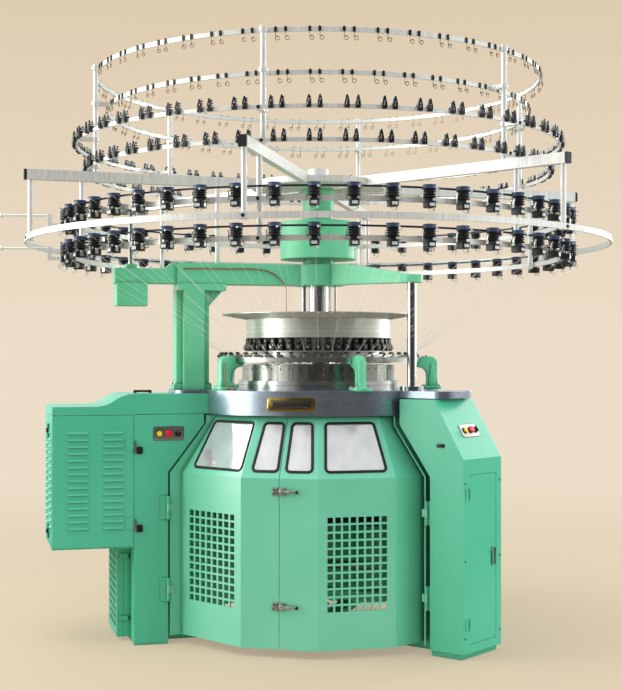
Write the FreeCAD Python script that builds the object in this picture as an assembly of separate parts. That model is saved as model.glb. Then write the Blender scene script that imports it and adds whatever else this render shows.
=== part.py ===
import FreeCAD, Part
import math
import os
from FreeCAD import Vector

# Circular knitting machine. Millimetres, +Z up, floor at z = 0.
# The cylinder axis is the Z axis. The front (door seam) faces -Y, the right side is +X.
# Angles round the axis are measured from the front towards the right.
# Pieces that lie along a direction are built along +X and turned into place.

# ---------------------------------------------------------------- driving sizes

clearance = 0.3            # gap between curved faces of pieces that move apart
running_fit = 0.05         # radial play of a pin or shaft in its bore
sheet = 4.0                # cabinet sheet
machine_top = 3184.0       # top of the upper posts
step_over = 1.0            # how far a fused detail reaches into its carrier

# legs
left_leg_angle = -60.0
right_leg_angle = 66.5
rear_leg_angle = 180.0
leg_half_width = 174.0
leg_inner = 902.0
leg_outer = 1088.0
leg_core_half = 50.0
leg_core_inner = 640.0
leg_pad_inner = 706.0
leg_pad_half = 120.0
leg_cheek_in = 126.0
leg_cheek_out = 164.0
leg_slope_low = 943.0
leg_slope_high = 1207.0
leg_throat = 702.0
cavity_wall = 28.0
tie_width = 100.0
tie_height = 40.0

# bed
bed_radius = 696.0
bed_top = 1393.0
bed_plate_thickness = 38.0
bed_bore = 400.0
lobe_reach = 980.0
lobe_half = 150.0
column_lobe_reach = 860.0
column_lobe_half = 170.0
housing_bottom = 1261.0
housing_wall = 12.0
housing_floor = 8.0
housing_bore = 430.0

# tub of twelve flat sides
tub_corner = 818.0
tub_top_corner = 650.0
tub_foot = 46.0
tub_shoulder = 940.0
tub_height = 1255.0
tub_wall = 8.0
tub_sides = 12
door_seam_gap = 3.0
door_end_offset = 60.0
door_return_gap = 13.0
door_return_gap_right = 39.0
door_return_out = 4.0
door_return_start = 282.0
pane_end_margin = 14.0
pane_seam_margin = 32.0
pane_wide_margin = 40.0
pane_frame_margin = 52.0
window_bottom = 974.0
window_top = 1222.0
window_corner = 22.0
glass_thickness = 5.0
glass_gap = 1.0
perforation_pitch = 42.0
perforation_hole = 31.0
perforation_columns = 8
left_perforation_pitch = 48.0
left_perforation_hole = 35.0
left_perforation_shift = 25.0
perforation_rows = 12
perforation_bottom = 262.0

# door hinges and latches
left_hinge_radius = 902.0
right_hinge_radius = 876.0
hinge_offset = 184.0
hinge_heights = [300.0, 750.0]
hinge_length = 126.0
hinge_pin = 6.0
hinge_knuckle = 10.0
hinge_leaf_thickness = 6.0
hinge_leaf_start = 13.0
hinge_leaf_end = 44.0
door_web_start = 28.0
door_web_end = 4.0
door_web_near = 1.0
door_web_far = 12.0
latch_heights = [270.0, 871.0]
latch_pivot_x = 16.0
latch_pin = 5.0
latch_lever_reach = 84.0
latch_plate = 6.0
latch_plate_half = 19.0
latch_boss = 13.0
latch_lever_half = 8.0

# control cabinet on the right leg
control_outer = 1110.0
control_half_width = 188.0
control_foot = 30.0
control_knee = 1042.0
control_top_reach = 926.0
control_top = 1350.0
control_door_margin = 52.0
control_door_top = 960.0
control_door_foot = 76.0
lock_height = 550.0
lock_pin = 6.0
lock_margin = 34.0
lock_drop = 80.0
door_gap = 2.0

# buttons
plate_length = 165.0
plate_width = 72.0
plate_thickness = 3.0
button_spacing = 52.0
button_hole = 11.0
button_play = 0.2
start_cap = 15.0
stop_cap = 20.0
selector_cap = 16.0
button_travel_room = 7.0
button_depth = 12.0
start_cap_height = 8.0
stop_cap_height = 14.0
name_bottom = 1287.0
name_top = 1360.0
left_panel_plate_radius = 899.0
left_panel_plate_height = 1156.0

# drive cabinet on the left leg
cabinet_outer = 1528.0
cabinet_front = 174.0
cabinet_rear = -412.0
cabinet_bottom = 535.0
cabinet_top = 1264.0
cabinet_seam = -87.0
cabinet_post_half = 12.0
cabinet_strip_start = -109.0
cabinet_strip_end = -88.0
cabinet_door_gap = 3.0
cabinet_door_margin = 6.0
louvre_length = 108.0
louvre_height = 15.0
louvre_depth = 8.0
louvre_pitch = 37.0
louvre_rows = 15
louvre_bottom = 640.0
louvre_columns = [110.0, 300.0]
louvre_end_column_front = [150.0]
louvre_end_column_rear = [170.0]

# barrel hinges of the cabinet doors
barrel_radius = 8.0
barrel_pin = 4.0
barrel_length = 76.0
barrel_offset = 9.0
barrel_heights = [669.0, 1096.0]
seam_barrel_heights = [610.0, 1169.0]
seam_leaf_reach = 24.0
catch_plate_length = 42.0
catch_plate_height = 62.0
small_barrel_radius = 5.0
small_barrel_pin = 2.5
small_barrel_length = 60.0
small_barrel_offset = 6.0
small_barrel_heights = [180.0, 860.0]
leaf_thickness = 3.0
leaf_reach = 34.0
cover_top = 1375.0
cover_low_top = 1306.0
cover_curve_start = 1085.0
cover_curve_end = 1299.0
cover_start = 600.0
cover_handle_place = 1020.0
cover_handle_half = 50.0
cover_handle_width = 10.0
cover_handle_post = 16.0
cover_handle_top = 17.0
guard_outer = 1165.0
guard_bottom = 20.0
guard_front = 15.0
guard_rear = -395.0
guard_columns = 8
guard_rows = 11
guard_first_row = 60.0
guard_clip_heights = [113.0, 458.0]
guard_clip_height = 24.0
guard_clip_depth = 11.0
guard_clip_start = 1102.0
guard_clip_end = 1150.0
guard_groove_place = 1127.0
guard_groove = 1.5

# drive train
ring_gear_teeth = 180
pinion_teeth = 20
gear_module = 6.0
gear_addendum = 4.5
gear_dedendum = 6.5
gear_backlash = 2.6
ring_gear_bottom = 1318.0
ring_gear_top = 1348.0
main_shaft_radius = 15.0
main_pulley_radius = 80.0
motor_pulley_radius = 50.0
motor_pulley_place = 1290.0
belt_bottom = 1275.0
belt_height = 18.0
belt_thickness = 5.0
motor_radius = 95.0
motor_bottom = 830.0
motor_top = 1200.0
motor_flange = 22.0
motor_flange_height = 14.0
motor_box_half = 60.0
motor_box_bottom = 90.0
motor_box_top = 200.0
motor_bracket_half = 90.0
pulley_flange = 7.0
pulley_flange_height = 3.0

# knitting head
cylinder_radius = 381.0
cylinder_wall = 36.0
cylinder_top = 1538.0
base_ring_outer = 460.0
base_ring_inner = 400.0
base_ring_top = 1443.0
cam_outer = 440.0
cam_top = 1533.0
cam_sections = 48
cam_gap = 1.0
cam_screw_radius = 5.0
cam_screw_depth = 14.0
cam_screw_drop = 24.0
cam_screw_side = 12.0
carrier_inner = 545.0
carrier_outer = 585.0
carrier_bottom = 1547.0
carrier_top = 1573.0
carrier_count = 48
carrier_half_width = 7.0
carrier_post_top = 1604.0
dial_radius = 372.0
dial_bottom = 1548.0
dial_top = 1600.0
drum_low_radius = 380.0
drum_radius = 419.0
drum_step = 1684.0
drum_blocks = 48
drum_block_radius = 428.0
drum_block_half = 17.0
drum_block_bottom = 1612.0
drum_top = 1793.0
guide_plate_rim = 556.0
guide_plate_rim_top = 1818.0
guide_plate_sheet = 4.0
guide_plate_holes = 48
guide_hole_rows = [(530.0, 10.0, 0.0), (475.0, 7.0, 0.5)]
center_shaft_radius = 56.0
shaft_collar = 22.0
side_rods = [(-76.0, -34.0, 12.0), (78.0, -36.0, 5.0), (104.0, -10.0, 6.0)]

# green brackets that hold the carrier ring
bracket_count = 5
bracket_first_angle = -37.0
bracket_inner = 626.0
bracket_outer = 690.0
bracket_half_width = 24.0

# column, crown and support rod
column_radius = 742.0
column_width = 185.0
column_back = -92.0
column_step = 40.0
column_face = 92.0
column_box_width = 116.0
column_top = 1950.0
column_foot_height = 30.0
column_head_inner = 560.0
column_head_outer = 835.0
crown_bottom = 1988.0
crown_boss = 150.0
crown_beam_extra = 20.0
crown_beam_end = 835.0
crown_tip_start = 900.0
crown_tip_slope = 860.0
crown_tip_inner = 800.0
rod_arm_half = 45.0
rod_arm_start = 250.0
crown_top = 2105.0
crown_half_width = 60.0
crown_reach = 1180.0
crown_tip_top = 2070.0
rod_angle = 61.5
rod_place = 700.0
rod_radius = 25.0
rod_top = 1985.0
rod_foot_radius = 65.0
rod_boss_radius = 60.0
arm_tip_bottom = 1981.0
arm_tip_top = 2024.0

# hub and upper frame
hub_radius = 220.0
hub_bottom = 2140.0
hub_top = 2355.0
hub_plate_radius = 383.0
hub_plate_bottom = 2546.0
hub_plate_top = 2581.0
hub_neck_radius = 90.0
stub_radius = 60.0
stub_top = 2662.0
frame_turn = 3.0
arm_count = 6
arm_reach = 1676.0
arm_half_width = 20.0
arm_bottom = 2538.0
arm_top = 2593.0
arm_cap = 14.0
post_radius = 14.0
hanging_post_place = 1363.0
hanging_post_bottom = 2120.0
upper_post_place = 1288.0
outer_post_place = 1641.0
outer_post_bottom = 2207.0

# rings: middle height, middle radius, band height
ring_wall = 10.0
top_ring = (3165.0, 1269.0, 23.0)
second_ring = (2970.0, 1206.0, 22.0)
third_ring = (2772.0, 1380.0, 20.0)
fourth_ring = (2622.0, 1322.0, 20.0)
upper_feeder_ring = (2333.0, 1387.0, 27.0)
band_ring = (2224.0, 1660.0, 31.0)
lower_feeder_ring = (2143.0, 1387.0, 27.0)
stations = 48
clamp_half_width = 15.0
clamp_wall = 7.0
hook_reach = 46.0
hook_wire = 2.0
unit_spread = 1.1
outrigger_angle = -72.0
outrigger_inner = 1545.0
outrigger_outer = 1819.0
outrigger_levels = [2389.0, 2200.0]
outrigger_bar = 10.0
outrigger_rod = 6.0
outrigger_ball = 13.0
strut_place = 600.0

# yarn feeders
feeder_place = 1440.0
feeder_wheel = 34.0
feeder_pulley = 31.0
feeder_belt_rise = 52.0
feeder_belt_height = 10.0
feeder_belt_thickness = 2.0
feed_pulley_place = 1085.0
feed_pulley_radius = 95.0
feed_exit_angle = 5.0
gearbox_bottom = 1862.0
gearbox_length = 170.0
gearbox_width = 150.0
feed_shaft_radius = 14.0
feed_flange = 5.0
feed_flange_height = 4.0
idler_radius = 12.0
idler_stem = 4.0

# take-down
side_plate_place = 400.0
side_plate_thickness = 24.0
side_plate_half_width = 120.0
side_plate_bottom = 190.0
side_plate_top = 1240.0
takedown_ring_inner = 345.0
takedown_ring_outer = 425.0
takedown_roller_radius = 32.0
takedown_roller_height = 640.0
roller_nip = 2.0
journal_radius = 14.0
winding_radius = 24.0
winding_height = 380.0
spigot_radius = 40.0
tie_rod_radius = 16.0
tie_rod_offset = 95.0
tie_rod_height = 900.0
bridge_half = 70.0
bridge_height = 50.0

# ---------------------------------------------------------------- worked out

housing_top = bed_top - bed_plate_thickness
ring_gear_radius = gear_module * ring_gear_teeth / 2
pinion_radius = gear_module * pinion_teeth / 2
main_shaft_place = ring_gear_radius + pinion_radius
cylinder_bore = cylinder_radius - cylinder_wall
tub_apothem = tub_corner * math.cos(math.pi / tub_sides)
tub_top_apothem = tub_top_corner * math.cos(math.pi / tub_sides)
facet_angle = 360.0 / tub_sides
far = 4000.0

os.makedirs("parts", exist_ok=True)

# ---------------------------------------------------------------- helpers


def box(x0, x1, y0, y1, z0, z1):
    return Part.makeBox(x1 - x0, y1 - y0, z1 - z0, Vector(x0, y0, z0))


def disc(radius, z0, z1, x=0.0, y=0.0):
    return Part.makeCylinder(radius, z1 - z0, Vector(x, y, z0))


def ring(inner, outer, z0, z1, x=0.0, y=0.0):
    return disc(outer, z0, z1, x, y).cut(disc(inner, z0, z1, x, y))


def rod(start, end, radius):
    direction = end.sub(start)
    return Part.makeCylinder(radius, direction.Length, start, direction)


def outward(angle):
    turn = math.radians(angle)
    return Vector(math.sin(turn), -math.cos(turn), 0)


def sideways(angle):
    turn = math.radians(angle)
    return Vector(math.cos(turn), math.sin(turn), 0)


def place(radius, offset, angle, z=0.0):
    return outward(angle) * radius + sideways(angle) * offset + Vector(0, 0, z)


def turned(shape, angle):
    copy = shape.copy()
    copy.rotate(Vector(0, 0, 0), Vector(0, 0, 1), angle - 90.0)
    return copy


def prism_up(points, z0, z1):
    corners = [Vector(x, y, z0) for x, y in points]
    face = Part.Face(Part.makePolygon(corners + corners[:1]))
    return face.extrude(Vector(0, 0, z1 - z0))


def prism_side(points, y0, y1):
    corners = [Vector(x, y0, z) for x, z in points]
    face = Part.Face(Part.makePolygon(corners + corners[:1]))
    return face.extrude(Vector(0, y1 - y0, 0))


def fused(shapes):
    whole = shapes[0]
    if len(shapes) > 1:
        whole = whole.multiFuse(shapes[1:])
    return whole.removeSplitter()


def holed(shape, holes):
    return shape.cut(Part.makeCompound(holes))


def rounded_wire(points, radius):
    edges = []
    starts = []
    ends = []
    count = len(points)
    for index, corner in enumerate(points):
        before = points[index - 1].sub(corner)
        after = points[(index + 1) % count].sub(corner)
        before.normalize()
        after.normalize()
        half = before.getAngle(after) / 2
        run = radius / math.tan(half)
        middle = before + after
        middle.normalize()
        start = corner + before * run
        end = corner + after * run
        crest = corner + middle * (radius / math.sin(half) - radius)
        starts.append(start)
        ends.append(end)
        edges.append(Part.Arc(start, crest, end).toShape())
    for index in range(count):
        edges.append(Part.makeLine(ends[index], starts[(index + 1) % count]))
    return Part.Wire(Part.__sortEdges__(edges))


def tube(points, radius):
    edges = []
    last = points[0]
    for index in range(1, len(points) - 1):
        corner = points[index]
        before = points[index - 1].sub(corner)
        after = points[index + 1].sub(corner)
        shorter = min(before.Length, after.Length)
        before.normalize()
        after.normalize()
        half = before.getAngle(after) / 2
        run = 0.45 * shorter
        bend = run * math.tan(half)
        middle = before + after
        middle.normalize()
        start = corner + before * run
        end = corner + after * run
        crest = corner + middle * (bend / math.sin(half) - bend)
        edges.append(Part.makeLine(last, start))
        edges.append(Part.Arc(start, crest, end).toShape())
        last = end
    edges.append(Part.makeLine(last, points[-1]))
    path = Part.Wire(edges)
    heading = points[1].sub(points[0])
    section = Part.Wire(Part.makeCircle(radius, points[0], heading))
    return path.makePipeShell([section], True, False)


def save(name, shapes):
    solids = []
    for shape in shapes:
        solids.extend(shape.Solids)
    for solid in solids:
        if not solid.isValid():
            print("not valid:", name)
    whole = solids[0] if len(solids) == 1 else Part.makeCompound(solids)
    whole.exportStep("parts/" + name + ".step")
    print(name, len(solids), round(sum(solid.Volume for solid in solids) / 1e6, 2))


# ---------------------------------------------------------------- tub shapes


def polygon_wire(corner, z):
    points = []
    for index in range(tub_sides):
        points.append(place(corner, 0, facet_angle * (index + 0.5), z))
    return Part.makePolygon(points + points[:1])


def tub_solid(corner, top_corner, foot, shoulder, height):
    wall = Part.Face(polygon_wire(corner, foot)).extrude(Vector(0, 0, shoulder - foot))
    slope = Part.makeLoft([polygon_wire(corner, shoulder), polygon_wire(top_corner, height)], True, True)
    return wall.fuse(slope)


def sector(angle0, offset0, angle1, offset1, z0, z1):
    # wedge between the line offset0 past angle0 and the line offset1 short of angle1
    side0 = sideways(angle0)
    side1 = sideways(angle1)
    spread = side0.x * side1.y - side0.y * side1.x
    x = (offset0 * side1.y + offset1 * side0.y) / spread
    y = (-offset1 * side0.x - offset0 * side1.x) / spread
    apex = Vector(x, y, 0)
    first = apex + outward(angle0) * far
    second = apex + outward(angle1) * far
    return prism_up([(apex.x, apex.y), (first.x, first.y), (second.x, second.y)], z0, z1)


inner_corner = tub_corner - tub_wall
inner_top_corner = tub_top_corner - tub_wall
tub_inside = tub_solid(inner_corner, inner_top_corner, tub_foot, tub_shoulder, tub_height)
tub_shell = tub_solid(tub_corner, tub_top_corner, tub_foot, tub_shoulder, tub_height).cut(tub_inside)


def slope_apothem(z):
    share = (z - tub_shoulder) / (tub_height - tub_shoulder)
    return tub_apothem + (tub_top_apothem - tub_apothem) * share


def slope_normal(angle):
    rise = tub_height - tub_shoulder
    run = tub_apothem - tub_top_apothem
    normal = outward(angle) * rise + Vector(0, 0, run)
    normal.normalize()
    return normal


def half_facet(z):
    return slope_apothem(z) * math.tan(math.pi / tub_sides)


def window(angle, left, right, shrink, inside, outside):
    # left and right give the pane's side at a height on the facet
    normal = slope_normal(angle)
    corners = []
    for side, z in [(left, window_bottom), (right, window_bottom), (right, window_top), (left, window_top)]:
        inset = shrink if side is left else -shrink
        level = z + shrink if z == window_bottom else z - shrink
        corners.append(place(slope_apothem(level), side(level) + inset, angle, level) - normal * inside)
    wire = rounded_wire(corners, window_corner)
    return Part.Face(wire).extrude(normal * (inside + outside))


def hinge_knuckles(leg_angle, side, radius):
    bodies = []
    for height in hinge_heights:
        low = height - hinge_length / 2
        middle = hinge_length / 6
        y = side * hinge_offset
        pin = disc(hinge_pin, low, low + hinge_length, radius, y)
        lower = disc(hinge_knuckle, low, height - middle, radius, y)
        upper = disc(hinge_knuckle, height + middle, low + hinge_length, radius, y)
        flat_in = side * leg_half_width
        flat_out = side * (leg_half_width + hinge_leaf_thickness)
        y0 = min(flat_in, flat_out)
        y1 = max(flat_in, flat_out)
        leaf = box(radius + hinge_leaf_start, radius + hinge_leaf_end, y0, y1, low, low + hinge_length)
        parts = [leaf, pin, lower, upper]
        for z0, z1 in [(low, height - middle), (height + middle, low + hinge_length)]:
            parts.append(box(radius, radius + hinge_leaf_start + 1, y0, y1, z0, z1))
        bodies.append(turned(fused(parts), leg_angle))
    return bodies


def door_knuckles(door, leg_angle, side, radius):
    # knuckles between those of the leg, each on a short web from the door's return
    webs = []
    bores = []
    y = side * hinge_offset
    near = side * (hinge_offset - door_web_near)
    inner = side * (hinge_offset - door_web_far)
    for height in hinge_heights:
        middle = hinge_length / 6 - clearance
        z0 = height - middle
        z1 = height + middle
        knuckle = disc(hinge_knuckle, z0, z1, radius, y)
        web = box(radius - door_web_start, radius - door_web_end, min(near, inner), max(near, inner), z0, z1)
        webs.append(turned(knuckle.fuse(web), leg_angle))
        bores.append(turned(disc(hinge_pin + running_fit, z0, z1, radius, y), leg_angle))
    return holed(fused([door] + webs), bores)


def perforation(angle, pitch, width, shift):
    holes = []
    for column in range(perforation_columns):
        y = (column - (perforation_columns - 1) / 2) * pitch + shift
        for row in range(perforation_rows):
            z = perforation_bottom + row * perforation_pitch
            hole = box(tub_apothem - 2 * tub_wall, tub_apothem + tub_wall, y - width / 2, y + width / 2,
                       z - perforation_hole / 2, z + perforation_hole / 2)
            holes.append(turned(hole, angle))
    return holes


def inset(path, side):
    # the same path one wall further in; side is -1 for the left door and 1 for the right one
    normals = []
    for index in range(len(path) - 1):
        run = path[index + 1].sub(path[index])
        normal = Vector(-run.y, run.x, 0) * side
        normal.normalize()
        normals.append(normal)
    inner = [path[0] + normals[0] * tub_wall]
    for index in range(1, len(path) - 1):
        both = normals[index - 1] + normals[index]
        share = tub_wall / (1 + normals[index - 1].dot(normals[index]))
        inner.append(path[index] + both * share)
    inner.append(path[-1] + normals[-1] * tub_wall)
    return inner


def return_end(side, leg_angle, gap, z):
    # where the door's return stops short of the leg's inner edge
    share = min(max((z - tub_shoulder) / (leg_slope_high - tub_shoulder), 0.0), 1.0)
    radius = leg_inner - gap + (leg_throat - leg_inner) * share
    return radius, side * (leg_half_width + door_return_out), leg_angle


def left_sections(z):
    level = max(z, tub_shoulder)
    apothem = slope_apothem(level)
    share = (level - tub_shoulder) / (tub_height - tub_shoulder)
    reach = door_return_start + (half_facet(tub_height) - door_return_start) * share
    radius, offset, angle = return_end(1, left_leg_angle, door_return_gap, level)
    path = [
        place(apothem, -door_seam_gap / 2, 0, z),
        place(apothem, -half_facet(level), 0, z),
        place(apothem, -reach, -facet_angle, z),
        place(radius, offset, angle, z),
    ]
    return [path + inset(path, -1)[::-1]]


def right_sections(z):
    level = max(z, tub_shoulder)
    apothem = slope_apothem(level)
    lean = math.radians(right_leg_angle - 2 * facet_angle)
    end_radius = (apothem - door_end_offset * math.sin(lean)) / math.cos(lean)
    path = [
        place(apothem, door_seam_gap / 2, 0, z),
        place(apothem, half_facet(level), 0, z),
        place(apothem, half_facet(level), facet_angle, z),
        place(end_radius, -door_end_offset, right_leg_angle, z),
    ]
    radius, offset, angle = return_end(-1, right_leg_angle, door_return_gap_right, level)
    back = [path[-1], place(radius, offset + 2 * door_return_out, angle, z)]
    return [path + inset(path, 1)[::-1], back + inset(back, -1)[::-1]]


def door_shell(sections):
    levels = [tub_foot, tub_shoulder, leg_slope_high, tub_height]
    bodies = []
    for index in range(len(sections(tub_foot))):
        wires = []
        for z in levels:
            points = sections(z)[index]
            wires.append(Part.makePolygon(points + points[:1]))
        for low, high in zip(wires, wires[1:]):
            bodies.append(Part.makeLoft([low, high], True, True))
    return fused(bodies)


def front_door(shell, holes, panes):
    cuts = list(holes)
    glass = []
    for angle, left, right in panes:
        cuts.append(window(angle, left, right, 0, 3 * tub_wall, 2 * tub_wall))
        glass.append(window(angle, left, right, glass_gap, glass_thickness, 0))
    return holed(shell, cuts), glass


def left_big(z):
    return -half_facet(z) + pane_end_margin


def left_big_end(z):
    return half_facet(z) - pane_end_margin


def left_small(z):
    return -half_facet(z) + pane_frame_margin


def left_small_end(z):
    return -pane_end_margin


def right_small(z):
    return pane_seam_margin


def right_small_end(z):
    return half_facet(z) - pane_seam_margin


def right_big(z):
    return -half_facet(z) + pane_wide_margin


def right_big_end(z):
    return half_facet(z) - pane_wide_margin


left_panes = [(-facet_angle, left_big, left_big_end), (0, left_small, left_small_end)]
right_panes = [(0, right_small, right_small_end), (facet_angle, right_big, right_big_end)]
left_holes = perforation(-facet_angle, left_perforation_pitch, left_perforation_hole,
                         -left_perforation_shift)
right_holes = perforation(facet_angle, perforation_pitch, perforation_hole, 0)
left_door, left_glass = front_door(door_shell(left_sections), left_holes, left_panes)
right_door, right_glass = front_door(door_shell(right_sections), right_holes, right_panes)

# latch plates: keeper on the left door, base with its pin on the right door
keepers = []
latch_bases = []
for height in latch_heights:
    low = height - latch_plate_half
    high = height + latch_plate_half
    front = -tub_apothem - latch_plate
    back = step_over - tub_apothem
    keepers.append(box(-2 * latch_plate_half, -door_seam_gap, front, back, low, high))
    base = box(door_seam_gap, latch_pivot_x + latch_plate_half - 1, front, back, low, high)
    pin = rod(Vector(latch_pivot_x, -tub_apothem, height), Vector(latch_pivot_x, -tub_apothem - 30, height),
              latch_pin)
    latch_bases.append(base.fuse(pin))
left_door = door_knuckles(fused([left_door] + keepers), left_leg_angle, 1, left_hinge_radius)
right_door = door_knuckles(fused([right_door] + latch_bases), right_leg_angle, -1, right_hinge_radius)
save("front_door_left", [left_door])
save("front_door_right", [right_door])
save("door_glass_left", left_glass)
save("door_glass_right", right_glass)

for height, name in zip(latch_heights, ["latch_lever_lower", "latch_lever_upper"]):
    back = -tub_apothem - latch_plate - clearance
    boss = rod(Vector(latch_pivot_x, back, height), Vector(latch_pivot_x, back - 20, height), latch_boss)
    lever = box(latch_pivot_x, latch_pivot_x + latch_lever_reach, back - 18, back - 8,
                height - latch_lever_half, height + latch_lever_half)
    tip = rod(Vector(latch_pivot_x + latch_lever_reach, back - 18, height),
              Vector(latch_pivot_x + latch_lever_reach, back - 8, height), latch_lever_half)
    bore = rod(Vector(latch_pivot_x, back + 1, height), Vector(latch_pivot_x, back - 40, height),
               latch_pin + running_fit)
    save(name, [fused([boss, lever, tip]).cut(bore)])

rear_first = tub_shell.common(sector(right_leg_angle, leg_core_half, rear_leg_angle, leg_core_half, 0, far))
rear_second = tub_shell.common(
    sector(rear_leg_angle, leg_core_half, 360 + left_leg_angle, leg_core_half, 0, far))
save("rear_guards", [rear_first, rear_second])


# ---------------------------------------------------------------- barrel hinges of the cabinet doors


def barrel_hinge(x, y, height, sizes, fixed_leaf, fixed_web, door_leaf, door_web):
    # upright pin at x, y; the leaves and webs are plan rectangles x0, x1, y0, y1
    radius, pin, length = sizes
    low = height - length / 2
    high = height + length / 2
    share = length / 6
    fixed = [box(*fixed_leaf, low, high), disc(pin, low, high, x, y)]
    for z0, z1 in [(low, height - share), (height + share, high)]:
        fixed.append(disc(radius, z0, z1, x, y))
        fixed.append(box(*fixed_web, z0, z1))
    z0 = height - share + clearance
    z1 = height + share - clearance
    door_part = fused([disc(radius, z0, z1, x, y), box(*door_web, z0, z1), box(*door_leaf, z0, z1)])
    return fused(fixed), door_part.cut(disc(pin + running_fit, z0, z1, x, y))


hinge_sizes = (barrel_radius, barrel_pin, barrel_length)
rear_axis_x = leg_outer + cabinet_door_gap / 2
rear_axis_y = cabinet_rear - barrel_offset
seam_axis_x = cabinet_outer + barrel_offset
seam_axis_y = cabinet_seam
front_hinges = []
rear_hinges = []
for height in seam_barrel_heights:
    front_hinges.append(barrel_hinge(
        seam_axis_x, seam_axis_y, height, hinge_sizes,
        (cabinet_outer, cabinet_outer + leaf_thickness, cabinet_strip_start, seam_axis_y - barrel_radius - 2),
        (cabinet_outer, cabinet_outer + leaf_thickness + 1, seam_axis_y - barrel_radius - 3, seam_axis_y),
        (cabinet_outer - step_over, cabinet_outer + leaf_thickness, seam_axis_y + barrel_radius + 1.5,
         seam_axis_y + barrel_radius + seam_leaf_reach),
        (cabinet_outer - step_over, cabinet_outer + leaf_thickness + 1, seam_axis_y + 1.5,
         seam_axis_y + barrel_radius + 2.5)))
for height in barrel_heights:
    rear_hinges.append(barrel_hinge(
        rear_axis_x, rear_axis_y, height, hinge_sizes,
        (leg_outer - leaf_thickness, leg_outer, cabinet_rear, cabinet_rear + leaf_reach),
        (leg_outer - leaf_thickness, rear_axis_x, rear_axis_y, cabinet_rear + sheet),
        (leg_outer + cabinet_door_gap + 1, leg_outer + leaf_reach, cabinet_rear - leaf_thickness,
         cabinet_rear + step_over),
        (rear_axis_x, rear_axis_x + barrel_radius - 0.5, rear_axis_y, cabinet_rear + step_over)))
small_hinges = []
control_axis_x = control_outer + small_barrel_offset
control_axis_y = control_door_margin + door_gap / 2 - control_half_width
for height in small_barrel_heights:
    small_hinges.append(barrel_hinge(
        control_axis_x, control_axis_y, height, (small_barrel_radius, small_barrel_pin, small_barrel_length),
        (control_outer, control_outer + leaf_thickness, control_axis_y - leaf_reach, control_axis_y - 7),
        (control_outer, control_outer + leaf_thickness + 1, control_axis_y - 8, control_axis_y),
        (control_outer - 1 - step_over, control_outer + 1, control_axis_y + 1.5, control_axis_y + 26),
        (control_outer - 1, control_outer + leaf_thickness + 1, control_axis_y + 1.5, control_axis_y + 7)))
brackets = hinge_knuckles(left_leg_angle, 1, left_hinge_radius)
brackets.extend(hinge_knuckles(right_leg_angle, -1, right_hinge_radius))
brackets.extend(turned(fixed, left_leg_angle) for fixed, door_part in front_hinges + rear_hinges)
brackets.extend(turned(fixed, right_leg_angle) for fixed, door_part in small_hinges)
save("door_hinge_brackets", brackets)

# ---------------------------------------------------------------- button plates
# Plates are built flat, face up, with their length along X, then turned onto their panel.


def plate_blank(length, width, thickness, hole_places, hole):
    corner = 8.0
    wire = rounded_wire([
        Vector(-length / 2, -width / 2, 0),
        Vector(length / 2, -width / 2, 0),
        Vector(length / 2, width / 2, 0),
        Vector(-length / 2, width / 2, 0),
    ], corner)
    plate = Part.Face(wire).extrude(Vector(0, 0, thickness))
    for x in hole_places:
        plate = plate.cut(disc(hole, -1, thickness + 1, x, 0))
    return plate


def seated(shape, origin, along, normal):
    across = normal.cross(along)
    matrix = FreeCAD.Matrix(
        along.x, across.x, normal.x, origin.x,
        along.y, across.y, normal.y, origin.y,
        along.z, across.z, normal.z, origin.z,
        0, 0, 0, 1)
    copy = shape.copy()
    copy.Placement = FreeCAD.Placement(matrix).multiply(copy.Placement)
    return copy


def push_button(x, cap, cap_height):
    stem = disc(button_hole - button_play, -button_depth, plate_thickness + button_travel_room, x, 0)
    foot = plate_thickness + button_travel_room
    head = disc(cap, foot, foot + cap_height, x, 0)
    return stem.fuse(head)


def selector(x):
    stem = disc(button_hole - button_play, -button_depth, plate_thickness + 1, x, 0)
    head = disc(selector_cap, plate_thickness + 0.5, plate_thickness + 10, x, 0)
    grip = box(x - 4, x + 4, -selector_cap + 1, selector_cap - 1, plate_thickness + 8,
               plate_thickness + 22)
    return fused([stem, head, grip])


places = [-button_spacing, 0.0, button_spacing]
button_recess = fused([disc(button_hole + 2, -button_depth - 8, 1, x, 0) for x in places])

left_origin = place(left_panel_plate_radius, leg_half_width, left_leg_angle, left_panel_plate_height)
left_along = outward(left_leg_angle) * -1
left_normal = sideways(left_leg_angle)
slope_rise = control_top - control_knee
slope_run = control_outer - control_top_reach
slope_length = math.hypot(slope_rise, slope_run)
panel_share = 0.46
panel_radius = control_outer - slope_run * panel_share
panel_height = control_knee + slope_rise * panel_share
right_normal = outward(right_leg_angle) * (slope_rise / slope_length)
right_normal = right_normal + Vector(0, 0, slope_run / slope_length)
right_along = sideways(right_leg_angle)
right_origin = place(panel_radius, 0, right_leg_angle, panel_height)

# ---------------------------------------------------------------- legs and ties

leg_profile = [
    (leg_inner, 0),
    (leg_outer, 0),
    (leg_outer, control_knee),
    (control_top_reach, housing_bottom),
    (leg_throat, housing_bottom),
    (leg_throat, leg_slope_high),
    (leg_inner, leg_slope_low),
]
core_profile = [
    (leg_core_inner, tie_height),
    (leg_inner + 1, tie_height),
    (leg_inner + 1, leg_slope_low),
    (leg_throat + 1, leg_slope_high),
    (leg_throat + 1, housing_bottom),
    (leg_core_inner, housing_bottom),
]
left_leg_profile = [
    (leg_inner, 0),
    (leg_outer, 0),
    (leg_outer, housing_bottom),
    (leg_throat, housing_bottom),
    (leg_throat, leg_slope_high),
    (leg_inner, leg_slope_low),
]


def leg(angle, profile, top_pads):
    outer = prism_side(profile, -leg_half_width, leg_half_width)
    core = prism_side(core_profile, -leg_core_half, leg_core_half)
    return turned(fused([outer, core] + top_pads), angle)


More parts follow.
